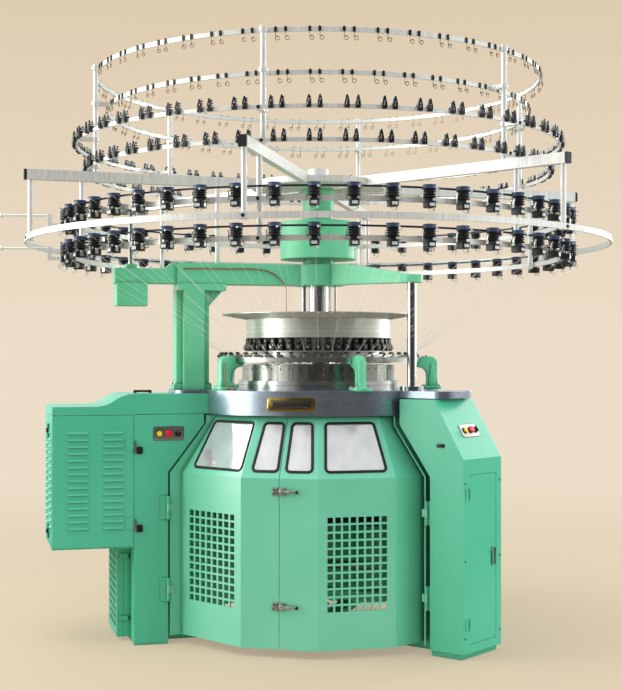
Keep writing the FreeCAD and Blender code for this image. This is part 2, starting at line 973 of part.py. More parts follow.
cheek_end = column_lobe_reach - 20
left_cheeks = [
    box(leg_pad_inner, cheek_end, leg_cheek_in, leg_cheek_out, housing_bottom, housing_top),
    box(leg_pad_inner, cheek_end, -leg_cheek_out, -leg_cheek_in, housing_bottom, housing_top),
]
rear_pad = [
    box(leg_pad_inner, control_top_reach - 6, -leg_pad_half, leg_pad_half, housing_bottom, housing_top),
]
left_leg = leg(left_leg_angle, left_leg_profile, left_cheeks)
left_leg = left_leg.cut(seated(button_recess, left_origin, left_along, left_normal))
rear_leg = leg(rear_leg_angle, leg_profile, rear_pad)
right_leg = leg(right_leg_angle, leg_profile, rear_pad)
cavity_half = leg_half_width - cavity_wall
cavity = box(leg_inner + cavity_wall, leg_outer + 1, -cavity_half, cavity_half,
             control_door_foot + 10, control_door_top - 10)
right_leg = right_leg.cut(turned(cavity, right_leg_angle))
ties = [disc(spigot_radius + 50, 0, tie_height)]
for angle in [left_leg_angle, right_leg_angle, rear_leg_angle]:
    bar = box(0, leg_inner, -tie_width / 2, tie_width / 2, 0, tie_height)
    ties.append(turned(bar, angle))
bearing = ring(spigot_radius + running_fit, spigot_radius + 24, tie_height, side_plate_bottom - 40)
spider = fused(ties + [bearing])
save("machine_legs", [left_leg, right_leg, rear_leg, spider])

# ---------------------------------------------------------------- bed

lobes = [disc(bed_radius, housing_top, bed_top)]
for angle, reach, half in [
    (left_leg_angle, column_lobe_reach, column_lobe_half),
    (right_leg_angle, lobe_reach, lobe_half),
    (rear_leg_angle, lobe_reach, lobe_half),
]:
    tongue = box(0, reach - half / 2, -half, half, housing_top, bed_top)
    nose = box(0, reach, -half / 2, half / 2, housing_top, bed_top)
    corner_low = disc(half / 2, housing_top, bed_top, reach - half / 2, -half / 2)
    corner_high = disc(half / 2, housing_top, bed_top, reach - half / 2, half / 2)
    lobes.append(turned(fused([tongue, nose, corner_low, corner_high]), angle))
shaft_hole = disc(main_shaft_radius + 3, housing_top - 1, bed_top - 14, main_shaft_place, 0)
bed = fused(lobes).cut(disc(bed_bore, housing_top, bed_top)).cut(turned(shaft_hole, left_leg_angle))
save("bed_plate", [bed])

housing = disc(bed_radius, housing_bottom, housing_top).cut(
    disc(bed_radius - housing_wall, housing_bottom + housing_floor, housing_top))
housing = housing.cut(disc(housing_bore, housing_bottom, housing_top))
slot = box(main_shaft_place, bed_radius + 40, -110, 110, belt_bottom - 5, belt_bottom + belt_height + 6)
shaft_seat = ring(main_shaft_radius + running_fit, main_shaft_radius + 16, housing_bottom + housing_floor,
                  belt_bottom - 4, main_shaft_place, 0)
shaft_bore = disc(main_shaft_radius + running_fit, housing_bottom, housing_top, main_shaft_place, 0)
housing = housing.cut(turned(slot, left_leg_angle)).fuse(turned(shaft_seat, left_leg_angle))
housing = housing.cut(turned(shaft_bore, left_leg_angle))
save("gear_housing", [housing])

# ---------------------------------------------------------------- control cabinet

control_profile = [
    (leg_outer - 60, control_foot),
    (control_outer, control_foot),
    (control_outer, control_knee),
    (control_top_reach, control_top),
    (leg_throat + 4, control_top),
    (leg_throat + 4, leg_slope_high + 6),
    (leg_inner, leg_slope_low),
    (leg_inner, control_foot),
]
control_inside = [
    (leg_outer + 1, control_foot + sheet),
    (control_outer - sheet, control_foot + sheet),
    (control_outer - sheet, control_knee - 2),
    (control_top_reach - 2, control_top - sheet),
    (leg_throat + 4, control_top - sheet),
    (leg_throat + 4, leg_slope_high + 6),
    (leg_inner, leg_slope_low),
    (leg_inner, control_foot),
    (leg_outer - 60, control_foot),
]
cabinet_body = prism_side(control_profile, -control_half_width, control_half_width)
cabinet_void = prism_side(control_inside, -control_half_width + sheet, control_half_width - sheet)
opening_half = control_half_width - control_door_margin
door_open = box(control_outer - 2 * sheet, control_outer + 2 * sheet, -opening_half, opening_half,
                control_door_foot, control_door_top)
control_shell = cabinet_body.cut(cabinet_void).cut(door_open)
control_shell = turned(control_shell, right_leg_angle).cut(right_leg).cut(bed)
control_shell = control_shell.cut(seated(button_recess, right_origin, right_along, right_normal))
save("control_cabinet", [control_shell])

# door of the control cabinet, hinged on the edge next to the tub, with a swing handle
door_low = door_gap - opening_half
door_high = opening_half - door_gap
door_face = control_outer - 1
door_foot = control_door_foot + door_gap
door_top = control_door_top - door_gap
control_door = box(door_face - sheet, door_face, door_low, door_high, door_foot, door_top)
lip = box(door_face - 5 * sheet, door_face - sheet, door_high - sheet, door_high, door_foot, door_top)
lock_place = door_high - lock_margin
lock_bore = rod(Vector(door_face - 2 * sheet, lock_place, lock_height),
                Vector(door_face + 40, lock_place, lock_height), lock_pin + running_fit)
control_door = fused([control_door, lip] + [door_part for fixed, door_part in small_hinges]).cut(lock_bore)
save("control_door", [turned(control_door, right_leg_angle)])

lock_spindle = rod(Vector(door_face - 2 * sheet, lock_place, lock_height),
                   Vector(door_face + 6, lock_place, lock_height), lock_pin)
lock_hub = rod(Vector(door_face + clearance, lock_place, lock_height),
               Vector(door_face + 16, lock_place, lock_height), 15)
lock_grip = box(door_face + 5, door_face + 16, lock_place - 12, lock_place + 12,
                lock_height - lock_drop, lock_height + 12)
save("lock_handle", [turned(fused([lock_spindle, lock_hub, lock_grip]), right_leg_angle)])

# ---------------------------------------------------------------- control plates and buttons

panel_plate = plate_blank(plate_length, plate_width, plate_thickness, places, button_hole)
# the name plate is a bare strip bent to the drum
name_half_angle = 10.8
name_angle = 2.8
name_reach = bed_radius * 1.2
name_side = name_reach * math.tan(math.radians(name_half_angle))
name_plate = ring(bed_radius, bed_radius + plate_thickness, name_bottom, name_top).common(
    prism_up([(0, 0), (name_reach, -name_side), (name_reach, name_side)], name_bottom, name_top))
save("control_plates", [
    seated(panel_plate, left_origin, left_along, left_normal),
    seated(panel_plate, right_origin, right_along, right_normal),
    turned(name_plate, name_angle),
])
for names, origin, along, normal in [
    (["start_button", "stop_button", "selector_knob"], left_origin, left_along, left_normal),
    (["cabinet_start_button", "cabinet_stop_button", "cabinet_selector"],
     right_origin, right_along, right_normal),
]:
    pieces = [
        push_button(places[0], start_cap, start_cap_height),
        push_button(places[1], stop_cap, stop_cap_height),
        selector(places[2]),
    ]
    for name, piece in zip(names, pieces):
        save(name, [seated(piece, origin, along, normal)])

# ---------------------------------------------------------------- drive cabinet

shell = box(leg_outer, cabinet_outer, cabinet_rear, cabinet_front, cabinet_bottom, cabinet_top)
inside = box(leg_outer + sheet, cabinet_outer + 1, cabinet_rear - 1, cabinet_front + 1,
             cabinet_bottom + sheet, cabinet_top - sheet)
post = box(cabinet_outer - 30, cabinet_outer - 10, cabinet_strip_start - cabinet_post_half,
           cabinet_seam + cabinet_post_half, cabinet_bottom, cabinet_top)
strip = box(cabinet_outer - 10 - step_over, cabinet_outer, cabinet_strip_start, cabinet_strip_end,
            cabinet_bottom, cabinet_top)
belt_hole = disc(30, cabinet_top - 2 * sheet, cabinet_top + 1, motor_pulley_place, 0)
shell = fused([shell.cut(inside), post, strip]).cut(belt_hole)
# the wall next to the leg stops short of the two doors, which close in front of its edges
for y0, y1 in [(cabinet_rear - 1, cabinet_rear + sheet + 1), (cabinet_front - sheet - 1, cabinet_front + 1)]:
    shell = shell.cut(box(leg_outer - 1, cabinet_outer + 1, y0, y1, cabinet_bottom + cabinet_door_margin - 1,
                          cabinet_top - cabinet_door_margin + 1))
save("drive_cabinet", [turned(shell, left_leg_angle)])


def louvre(x, z):
    # pressed louvre on a sheet that lies in the plane y = 0 and faces +y
    half = louvre_length / 2
    back = -sheet / 2
    corners = [Vector(x - half, back, z), Vector(x - half, back, z + louvre_height),
               Vector(x - half, louvre_depth, z)]
    face = Part.Face(Part.makePolygon(corners + corners[:1]))
    return face.extrude(Vector(louvre_length, 0, 0))


def louvre_slot(x, z):
    half = louvre_length / 2 - 3
    back = -sheet - 1
    corners = [Vector(x - half, back, z - 1), Vector(x - half, back, z + louvre_height - 6),
               Vector(x - half, louvre_depth - 3, z + 1), Vector(x - half, louvre_depth - 3, z - 1)]
    face = Part.Face(Part.makePolygon(corners + corners[:1]))
    return face.extrude(Vector(2 * half, 0, 0))


def louvred_door(columns_front, columns_end, end_width):
    # front leaf in the plane y = 0 from x = 0 to its width, end leaf folded back at x = width
    width = cabinet_outer - leg_outer - cabinet_door_gap
    low = cabinet_bottom + cabinet_door_margin
    high = cabinet_top - cabinet_door_margin
    leaf = box(0, width, -sheet, 0, low, high)
    end = box(width - sheet, width, -end_width, 0, low, high)
    bumps = []
    slots = []
    for row in range(louvre_rows):
        z = louvre_bottom + row * louvre_pitch
        for x in columns_front:
            bumps.append(louvre(x, z))
            slots.append(louvre_slot(x, z))
        for y in columns_end:
            for group, shape in [(bumps, louvre(0, z)), (slots, louvre_slot(0, z))]:
                shape.rotate(Vector(0, 0, 0), Vector(0, 0, 1), -90)
                shape.translate(Vector(width, -y, 0))
                group.append(shape)
    return fused([leaf, end] + bumps).cut(Part.makeCompound(slots))


front_leaf = louvred_door(louvre_columns, louvre_end_column_front, cabinet_front - cabinet_seam - 1)
front_leaf.translate(Vector(leg_outer + cabinet_door_gap, cabinet_front, 0))
catches = []
for height in barrel_heights:
    catches.append(box(leg_outer + cabinet_door_gap, leg_outer + cabinet_door_gap + catch_plate_length,
                       cabinet_front - step_over, cabinet_front + leaf_thickness,
                       height - catch_plate_height / 2, height + catch_plate_height / 2))
front_leaf = fused([front_leaf] + catches + [door_part for fixed, door_part in front_hinges])
save("louvre_door_front", [turned(front_leaf, left_leg_angle)])
rear_leaf = louvred_door(louvre_columns, louvre_end_column_rear, cabinet_strip_start - cabinet_rear - 2)
rear_leaf = rear_leaf.mirror(Vector(0, 0, 0), Vector(0, 1, 0))
rear_leaf.translate(Vector(leg_outer + cabinet_door_gap, cabinet_rear, 0))
rear_leaf = fused([rear_leaf] + [door_part for fixed, door_part in rear_hinges])
save("louvre_door_rear", [turned(rear_leaf, left_leg_angle)])

# belt cover: high and narrow over the leg, low and wide over the cabinet


def cover_outline(drop, start, end, bottom):
    middle = (cover_curve_start + cover_curve_end) / 2
    level = (cover_top + cover_low_top) / 2 - drop
    half = (cover_curve_end - cover_curve_start) / 2
    rise = (cover_top - cover_low_top) / 2
    radius = (half * half + rise * rise) / (2 * rise)
    turn = math.asin(half / radius) / 2
    high = cover_top - drop
    low = cover_low_top - drop
    crest = Vector(cover_curve_start + radius * math.sin(turn), 0, high - radius * (1 - math.cos(turn)))
    trough = Vector(cover_curve_end - radius * math.sin(turn), 0, low + radius * (1 - math.cos(turn)))
    joint = Vector(middle, 0, level)
    points = [Vector(start, 0, bottom), Vector(start, 0, high), Vector(cover_curve_start, 0, high)]
    tail = [Vector(cover_curve_end, 0, low), Vector(end, 0, low), Vector(end, 0, bottom)]
    edges = [
        Part.makeLine(points[0], points[1]),
        Part.makeLine(points[1], points[2]),
        Part.Arc(points[2], crest, joint).toShape(),
        Part.Arc(joint, trough, tail[0]).toShape(),
        Part.makeLine(tail[0], tail[1]),
        Part.makeLine(tail[1], tail[2]),
        Part.makeLine(tail[2], points[0]),
    ]
    return Part.Face(Part.Wire(edges))


def cover_block(drop, start, end, bottom, y0, y1):
    block = cover_outline(drop, start, end, bottom).extrude(Vector(0, y1 - y0, 0))
    block.translate(Vector(0, y0, 0))
    return block


def wide_part(block):
    return block.common(box(leg_outer, far, -far, far, 0, far))


low_edge = cabinet_top
outer_cover = fused([
    cover_block(0, cover_start, cabinet_outer, low_edge, -cabinet_front, cabinet_front),
    wide_part(cover_block(0, cover_start, cabinet_outer, low_edge, cabinet_rear, -cabinet_front + 1)),
])
inner_cover = fused([
    cover_block(sheet, cover_start - 1, cabinet_outer - sheet, low_edge - 1,
                -cabinet_front + sheet, cabinet_front - sheet),
    box(leg_outer + sheet, cabinet_outer - sheet, cabinet_rear + sheet, 0, low_edge - 1,
        cover_low_top - sheet),
])
cover = outer_cover.cut(inner_cover)
cover = cover.cut(disc(bed_radius, housing_bottom - 1, bed_top))
cover = cover.cut(box(cover_start - 2, column_lobe_reach + 4, -cabinet_front + sheet,
                      cabinet_front - sheet, housing_bottom - 1, bed_top))
handle_low = cover_handle_place - cover_handle_half
handle_high = cover_handle_place + cover_handle_half
handle = []
for x0, x1, z0, z1 in [
    (handle_low, handle_high, cover_handle_top - 12, cover_handle_top),
    (handle_low, handle_low + cover_handle_post, -step_over, cover_handle_top - 4),
    (handle_high - cover_handle_post, handle_high, -step_over, cover_handle_top - 4),
]:
    handle.append(box(x0, x1, -cover_handle_width, cover_handle_width, cover_top + z0, cover_top + z1))
cover = fused([cover] + handle)
save("drive_cover", [turned(cover, left_leg_angle)])

guard = box(leg_outer, guard_outer, guard_rear, guard_front, guard_bottom, cabinet_bottom)
guard = guard.cut(box(leg_outer + sheet, guard_outer - sheet, guard_rear + sheet,
                      guard_front - sheet, guard_bottom + sheet, cabinet_bottom + 1))
holes = [box(guard_groove_place - guard_groove, guard_groove_place + guard_groove,
             guard_front - guard_groove, guard_front + 1, guard_bottom - 1, cabinet_bottom + 1)]
for column in range(guard_columns):
    for row in range(guard_rows):
        y = (guard_front + guard_rear) / 2 + (column - (guard_columns - 1) / 2) * perforation_pitch
        z = guard_bottom + guard_first_row + row * perforation_pitch
        half = perforation_hole / 2
        holes.append(box(guard_outer - 2 * sheet, guard_outer + 1, y - half, y + half, z - half, z + half))
guard = holed(guard, holes)
for z in guard_clip_heights:
    guard = guard.fuse(box(guard_clip_start, guard_clip_end, guard_front - step_over,
                           guard_front + guard_clip_depth, z, z + guard_clip_height))
save("lower_guard", [turned(guard, left_leg_angle)])

# ---------------------------------------------------------------- motor and belt

flange_bottom = motor_top - motor_flange_height
motor_body = fused([
    disc(motor_radius, motor_bottom, motor_top, motor_pulley_place, 0),
    disc(motor_radius + motor_flange, flange_bottom, motor_top, motor_pulley_place, 0),
    box(motor_pulley_place - motor_box_half, motor_pulley_place + motor_box_half, motor_radius - 20,
        motor_radius + 40, motor_bottom + motor_box_bottom, motor_bottom + motor_box_top),
    box(leg_outer + sheet, motor_pulley_place, -motor_bracket_half, motor_bracket_half, flange_bottom,
        motor_top),
])
motor_seat = disc(main_shaft_radius + running_fit, motor_bottom + 60, motor_top + 1,
                  motor_pulley_place, 0)
save("motor", [turned(motor_body.cut(motor_seat), left_leg_angle)])


def belt_pulley(radius, x):
    rim = radius + pulley_flange
    low = belt_bottom - clearance
    high = belt_bottom + belt_height + clearance
    under = disc(rim, low - pulley_flange_height, low, x, 0)
    over = disc(rim, high, high + pulley_flange_height, x, 0)
    return fused([disc(radius, low, high, x, 0), under, over])


motor_shaft = disc(main_shaft_radius, motor_bottom + 70, belt_bottom, motor_pulley_place, 0)
motor_pulley = fused([belt_pulley(motor_pulley_radius, motor_pulley_place), motor_shaft])
save("motor_pulley", [turned(motor_pulley, left_leg_angle)])


def gear(teeth, pitch_radius, x, turn):
    # straight-sided teeth; the root disc carries one wedge per tooth
    root = pitch_radius - gear_dedendum
    tip = pitch_radius + gear_addendum
    pitch = math.pi * gear_module
    thickness = (pitch - gear_backlash) / 2
    flank = math.tan(math.radians(20.0))
    points = []
    for index in range(teeth):
        middle = 2 * math.pi * index / teeth + turn
        for radius, side in [(root, -1), (tip, -1), (tip, 1), (root, 1)]:
            half = thickness / 2 - (radius - pitch_radius) * flank
            angle = middle + side * half / pitch_radius
            points.append((x + radius * math.cos(angle), radius * math.sin(angle)))
    return points


ring_gear = prism_up(gear(ring_gear_teeth, ring_gear_radius, 0, 0), ring_gear_bottom, ring_gear_top)
ring_gear = ring_gear.cut(disc(cylinder_bore, ring_gear_bottom, ring_gear_top))
half_tooth = math.pi / pinion_teeth
pinion_outline = gear(pinion_teeth, pinion_radius, main_shaft_place, math.pi + half_tooth)
pinion = prism_up(pinion_outline, ring_gear_bottom, ring_gear_top)
main_shaft = disc(main_shaft_radius, housing_bottom, bed_top - 16, main_shaft_place, 0)
collar = disc(main_shaft_radius + 14, belt_bottom + belt_height, ring_gear_bottom, main_shaft_place, 0)
main_shaft = fused([belt_pulley(main_pulley_radius, main_shaft_place), collar, pinion, main_shaft])
save("main_shaft", [turned(main_shaft, left_leg_angle)])

span = motor_pulley_place - main_shaft_place
lean = math.asin((main_pulley_radius - motor_pulley_radius) / span)


def belt_face(extra):
    big = main_pulley_radius + extra
    small = motor_pulley_radius + extra
    near = Vector(main_shaft_place, 0, belt_bottom)
    distant = Vector(motor_pulley_place, 0, belt_bottom)
    up = Vector(math.sin(lean), math.cos(lean), 0)
    down = Vector(math.sin(lean), -math.cos(lean), 0)
    first = Part.Arc(near + up * big, near - Vector(big, 0, 0), near + down * big).toShape()
    second = Part.makeLine(near + down * big, distant + down * small)
    third = Part.Arc(distant + down * small, distant + Vector(small, 0, 0), distant + up * small).toShape()
    fourth = Part.makeLine(distant + up * small, near + up * big)
    return Part.Face(Part.Wire([first, second, third, fourth]))


belt = belt_face(clearance + belt_thickness).extrude(Vector(0, 0, belt_height))
belt = belt.cut(belt_face(clearance).extrude(Vector(0, 0, belt_height)))
save("drive_belt", [turned(belt, left_leg_angle)])

# ---------------------------------------------------------------- rotating cylinder and take-down

carrier = ring(cylinder_bore, bed_bore - 6, ring_gear_top, bed_top - 1)
cylinder = ring(cylinder_bore, cylinder_radius, bed_top - 1, cylinder_top)
save("needle_cylinder", [turned(ring_gear, left_leg_angle), fused([carrier, cylinder])])

flange = ring(takedown_ring_inner, takedown_ring_outer, side_plate_top - 20, ring_gear_bottom)
side_in = side_plate_place - side_plate_thickness / 2
side_out = side_plate_place + side_plate_thickness / 2
frame_parts = [flange]
for side in [-1, 1]:
    x0 = min(side * side_in, side * side_out)
    x1 = max(side * side_in, side * side_out)
    frame_parts.append(box(x0, x1, -side_plate_half_width, side_plate_half_width,
                           side_plate_bottom, side_plate_top - 10))
    tie_y = side * tie_rod_offset
    frame_parts.append(rod(Vector(-side_in - step_over, tie_y, tie_rod_height),
                           Vector(side_in + step_over, tie_y, tie_rod_height), tie_rod_radius))
frame_parts.append(box(-side_in - step_over, side_in + step_over, -bridge_half, bridge_half,
                       side_plate_bottom, side_plate_bottom + bridge_height))
frame_parts.append(disc(spigot_radius, tie_height + 1, side_plate_bottom + 10))
journals = []
roller_offset = takedown_roller_radius + roller_nip / 2
for y, z in [
    (-roller_offset, takedown_roller_height),
    (roller_offset, takedown_roller_height),
    (0.0, winding_height),
]:
    journals.append(rod(Vector(-side_out - 1, y, z), Vector(side_out + 1, y, z),
                        journal_radius + running_fit))
save("takedown_frame", [holed(fused(frame_parts), journals)])


def roller(radius, y, z):
    face = side_in - 4
    barrel = rod(Vector(-face, y, z), Vector(face, y, z), radius)
    journal = rod(Vector(-side_out - 6, y, z), Vector(side_out + 6, y, z), journal_radius)
    return barrel.fuse(journal)


save("takedown_roller_front", [roller(takedown_roller_radius, -roller_offset, takedown_roller_height)])
save("takedown_roller_rear", [roller(takedown_roller_radius, roller_offset, takedown_roller_height)])
save("winding_shaft", [roller(winding_radius, 0.0, winding_height)])

# ---------------------------------------------------------------- knitting head

save("base_ring", [ring(base_ring_inner, base_ring_outer, bed_top, base_ring_top)])


def cam_section():
    half = 180.0 / cam_sections
    inner = cylinder_radius + clearance * 2
    block = ring(inner, cam_outer, base_ring_top, cam_top)
    reach = cam_outer + 50
    side = reach * math.tan(math.radians(half))
    trim = cam_gap / 2 / math.cos(math.radians(half))
    apex = trim / math.sin(math.radians(half))
    wedge = prism_up([(apex, 0), (reach, -side + trim), (reach, side - trim)], base_ring_top, cam_top)
    screw_height = cam_top - cam_screw_drop
    screw = rod(Vector(cam_outer - cam_screw_depth, cam_screw_side, screw_height),
                Vector(cam_outer + 5, cam_screw_side, screw_height), cam_screw_radius)
    return block.common(wedge).cut(screw)


section = cam_section()
sections = []
for index in range(cam_sections):
    sections.append(turned(section, index * 360.0 / cam_sections))
save("cam_sections", sections)
save("carrier_ring", [ring(carrier_inner, carrier_outer, carrier_bottom, carrier_top)])

carrier_profile = [
    (carrier_inner + 5, carrier_top),
    (carrier_outer - 5, carrier_top),
    (carrier_outer - 5, carrier_top + 24),
    (carrier_inner + 23, carrier_top + 28),
    (carrier_inner + 23, carrier_post_top),
    (carrier_inner + 15, carrier_post_top),
    (carrier_inner + 15, carrier_top + 28),
    (carrier_inner + 5, carrier_top + 24),
    (cylinder_radius + 18, cylinder_top + 8),
    (cylinder_radius + 18, cylinder_top + 3),
    (carrier_inner - 4, carrier_top + 3),
]
yarn_carrier = prism_side(carrier_profile, -carrier_half_width, carrier_half_width)
carriers = []
for index in range(carrier_count):
    carriers.append(turned(yarn_carrier, index * 360.0 / carrier_count))
save("yarn_carriers", carriers)

dial_hole = disc(center_shaft_radius + running_fit, dial_bottom, dial_top)
save("dial", [disc(dial_radius, dial_bottom, dial_top).cut(dial_hole)])
drum_block = box(drum_low_radius - 2, drum_block_radius, -drum_block_half, drum_block_half,
                 drum_block_bottom, drum_step)
drum_parts = [disc(drum_low_radius, dial_top + 2, drum_step), disc(drum_radius, drum_step, drum_top)]
for index in range(drum_blocks):
    drum_parts.append(turned(drum_block, index * 360.0 / drum_blocks))
dial_drum = fused(drum_parts)
save("dial_cam_drum", [dial_drum.cut(disc(center_shaft_radius, dial_top, drum_top))])
dish = Part.Face(Part.makePolygon([
    Vector(center_shaft_radius, 0, drum_top),
    Vector(drum_radius, 0, drum_top),
    Vector(guide_plate_rim, 0, guide_plate_rim_top),
    Vector(guide_plate_rim, 0, guide_plate_rim_top + guide_plate_sheet),
    Vector(drum_radius, 0, drum_top + guide_plate_sheet),
    Vector(center_shaft_radius, 0, drum_top + guide_plate_sheet),
    Vector(center_shaft_radius, 0, drum_top),
])).revolve(Vector(0, 0, 0), Vector(0, 0, 1), 360)
dish_holes = []
for index in range(guide_plate_holes):
    for x, radius, shift in guide_hole_rows:
        hole = disc(radius, drum_top - 20, guide_plate_rim_top + 20, x, 0)
        dish_holes.append(turned(hole, (index + shift) * 360.0 / guide_plate_holes))
save("yarn_guide_plate", [holed(dish, dish_holes)])
shaft = disc(center_shaft_radius, dial_bottom - 12, crown_bottom)
shaft_ring = disc(center_shaft_radius + shaft_collar, dial_bottom - 12, dial_bottom - 2)
shaft_solids = [fused([shaft, shaft_ring])]
for x, y, radius in side_rods:
    shaft_solids.append(disc(radius, drum_top + guide_plate_sheet, crown_bottom, x, y))
save("center_shaft", shaft_solids)

bracket_profile = [
    (bracket_inner, bed_top),
    (bracket_outer + 20, bed_top),
    (bracket_outer, bed_top + 24),
    (bracket_outer, carrier_top - 20),
    (bracket_outer - 30, carrier_top + 10),
    (bracket_inner - 30, carrier_top + 10),
    (carrier_outer + clearance, carrier_top - 4),
    (carrier_outer + clearance, carrier_bottom),
    (carrier_inner + 6, carrier_bottom),
    (carrier_inner + 6, carrier_bottom - 26),
    (bracket_inner, carrier_bottom - 50),
]
bracket = prism_side(bracket_profile, -bracket_half_width, bracket_half_width)
brackets = []
for index in range(bracket_count):
    brackets.append(turned(bracket, bracket_first_angle + index * 360.0 / bracket_count))
save("ring_brackets", brackets)

# ---------------------------------------------------------------- column, crown, rod, hub

half = column_width / 2
box_half = column_box_width / 2
inner_side = column_radius - half
outer_side = column_radius + half
column = fused([
    box(inner_side, outer_side, column_back, column_step, bed_top, column_top),
    box(column_radius - box_half, column_radius + box_half, column_step, column_face, bed_top, column_top),
    box(inner_side - 12, outer_side + 18, column_back, column_step + 20, bed_top,
        bed_top + column_foot_height),
    box(column_head_inner, column_head_outer, column_back, column_face, column_top, crown_bottom),
    prism_side([
        (inner_side, column_top - 90),
        (inner_side, column_top),
        (column_head_inner + 10, column_top),
    ], -40, 20),
])
save("column", [turned(column, left_leg_angle)])

beam_half = crown_half_width + crown_beam_extra
beam = fused([
    disc(crown_boss, crown_bottom, crown_top),
    box(0, crown_beam_end, -beam_half, beam_half, crown_bottom, crown_top),
    prism_side([
        (crown_tip_inner, crown_bottom),
        (crown_reach, crown_bottom),
        (crown_reach, crown_tip_top),
        (crown_tip_start, crown_tip_top),
        (crown_tip_slope, crown_top),
        (crown_tip_inner, crown_top),
    ], -crown_half_width, crown_half_width),
])
arm = fused([
    prism_side([
        (0, crown_bottom),
        (rod_arm_start, crown_bottom),
        (rod_place, arm_tip_bottom),
        (rod_place, arm_tip_top),
        (rod_arm_start, crown_top),
        (0, crown_top),
    ], -rod_arm_half, rod_arm_half),
    disc(rod_boss_radius, arm_tip_bottom, arm_tip_top, rod_place, 0),
])
crown = fused([turned(beam, left_leg_angle), turned(arm, rod_angle)])
feed_bore = disc(feed_shaft_radius + running_fit, 0, far, feed_pulley_place, 0)
crown = crown.cut(turned(feed_bore, left_leg_angle))
rod_piece = fused([
    disc(rod_radius, bed_top, rod_top, rod_place, 0),
    disc(rod_foot_radius, bed_top, bed_top + 24, rod_place, 0),
])
rod_piece = turned(rod_piece, rod_angle)
save("crown_casting", [crown.cut(rod_piece)])
save("support_rod", [rod_piece])

neck = disc(hub_neck_radius, crown_top, hub_bottom)
drum = disc(hub_radius, hub_bottom, hub_top)
upper_neck = disc(hub_neck_radius, hub_top, hub_plate_bottom)
save("hub_drum", [fused([neck, drum, upper_neck])])

plate = disc(hub_plate_radius, hub_plate_bottom, hub_plate_top)
stub = disc(stub_radius, hub_plate_top, stub_top)
arms = []
for index in range(arm_count):
    bar = box(hub_neck_radius + 40, arm_reach, -arm_half_width, arm_half_width, arm_bottom, arm_top)
    hollow = box(hub_plate_radius + 20, arm_reach - arm_cap, -arm_half_width + 3, arm_half_width - 3,
                 arm_bottom + 3, arm_top - 3)
    bar = bar.cut(hollow).cut(plate)
    arms.append(turned(bar, frame_turn + index * 360.0 / arm_count))
save("frame_arms", [fused([plate, stub]), *[solid for bar in arms for solid in bar.Solids]])

# ---------------------------------------------------------------- rings and posts


def band(size):
    middle, radius, height = size
    return ring(radius - ring_wall / 2, radius + ring_wall / 2, middle - height / 2, middle + height / 2)


save("guide_rings", [band(top_ring), band(second_ring)])
save("tension_rings", [band(third_ring), band(fourth_ring)])
save("feeder_rings", [band(upper_feeder_ring), band(band_ring), band(lower_feeder_ring)])


def clamp(size, post_place):
    # split clamp on the post with an arm that reaches the ring's near face
    middle, radius, height = size
    low = middle - height / 2
    high = middle + height / 2
    hug = disc(post_radius + clamp_wall, low, high, post_place, 0)
    arm = box(min(radius, post_place), max(radius, post_place), -clamp_half_width, clamp_half_width,
              low, high)
    whole = fused([arm, hug])
    if post_place > radius:
        return whole.cut(disc(radius + ring_wall / 2, low, high))
    return whole.common(disc(radius - ring_wall / 2, low, high))


def upright(post_place, z0, z1, clamped):
    parts = [disc(post_radius, z0, z1, post_place, 0)]
    for size in clamped:
        parts.append(clamp(size, post_place))
    return fused(parts)


arm_posts = [
    upright(upper_post_place, arm_top, machine_top, [top_ring, second_ring, third_ring, fourth_ring]),
    upright(hanging_post_place, hanging_post_bottom, arm_bottom, [upper_feeder_ring, lower_feeder_ring]),
    upright(outer_post_place, outer_post_bottom, arm_bottom, [band_ring]),
]
posts = []
for index in range(arm_count):
    for upright_shape in arm_posts:
        posts.append(turned(upright_shape, frame_turn + index * 360.0 / arm_count))

for level in outrigger_levels:
    ring_size = upper_feeder_ring if level > lower_feeder_ring[0] + 100 else lower_feeder_ring
    middle = ring_size[0]
    start = ring_size[1] + ring_wall / 2
    half = outrigger_bar
    bar = box(start - 4, outrigger_inner + half, -half, half, middle - half, middle + half)
    riser = box(outrigger_inner - half, outrigger_inner + half, -half, half, middle - half, level + half)
    reach = rod(Vector(outrigger_inner, 0, level), Vector(outrigger_outer, 0, level), outrigger_rod)
    ball = Part.makeSphere(outrigger_ball, Vector(outrigger_outer, 0, level))
    whole = fused([bar, riser, reach, ball]).cut(disc(start, middle - 30, middle + 30))
    posts.append(turned(whole, outrigger_angle))
beam_strut = disc(post_radius, crown_top, arm_bottom, strut_place, 0)
posts.append(turned(beam_strut, frame_turn - 60.0))
save("frame_posts", posts)

# ---------------------------------------------------------------- what stands on the rings


def station_angle(index):
    return frame_turn + (index + 0.5) * 360.0 / stations


def hook(size):
    # clip on the ring with a bent wire guide under it
    middle, radius, height = size
    outer = radius + ring_wall / 2
    low = middle - height / 2
    clip = box(outer - 2, outer + 9, -7, 7, middle - height / 2, middle + height / 2 + 2)
    tip = low - hook_reach
    drop = box(outer + 3, outer + 3 + 2 * hook_wire, -hook_wire, hook_wire, tip, low + 2)
    curl = box(outer + 3, outer + 28, -hook_wire, hook_wire, tip - 2 * hook_wire, tip)
    whole = fused([clip, drop, curl])
    return whole.cut(disc(outer, low - 2 * hook_reach, middle + height))


def tension_unit(size):
    middle, radius, height = size
    top = middle + height / 2
    outer = radius + ring_wall / 2
    foot = box(radius - 10, outer + 20, -12, 12, top, top + 15)
    side = box(outer, outer + 20, -12, 12, middle - height / 2, top + 1)
    fin = prism_side([
        (outer - 12, top + 14),
        (outer + 16, top + 14),
        (outer + 5, top + 48),
        (outer - 3, top + 48),
    ], -4, 4)
    whole = fused([foot, side, fin])
    return whole.cut(disc(outer, middle - height, top))


def pairs(shape):
    placed = []
    for index in range(stations):
        for side in [-1, 1]:
            placed.append(turned(shape, station_angle(index) + side * unit_spread))
    return placed


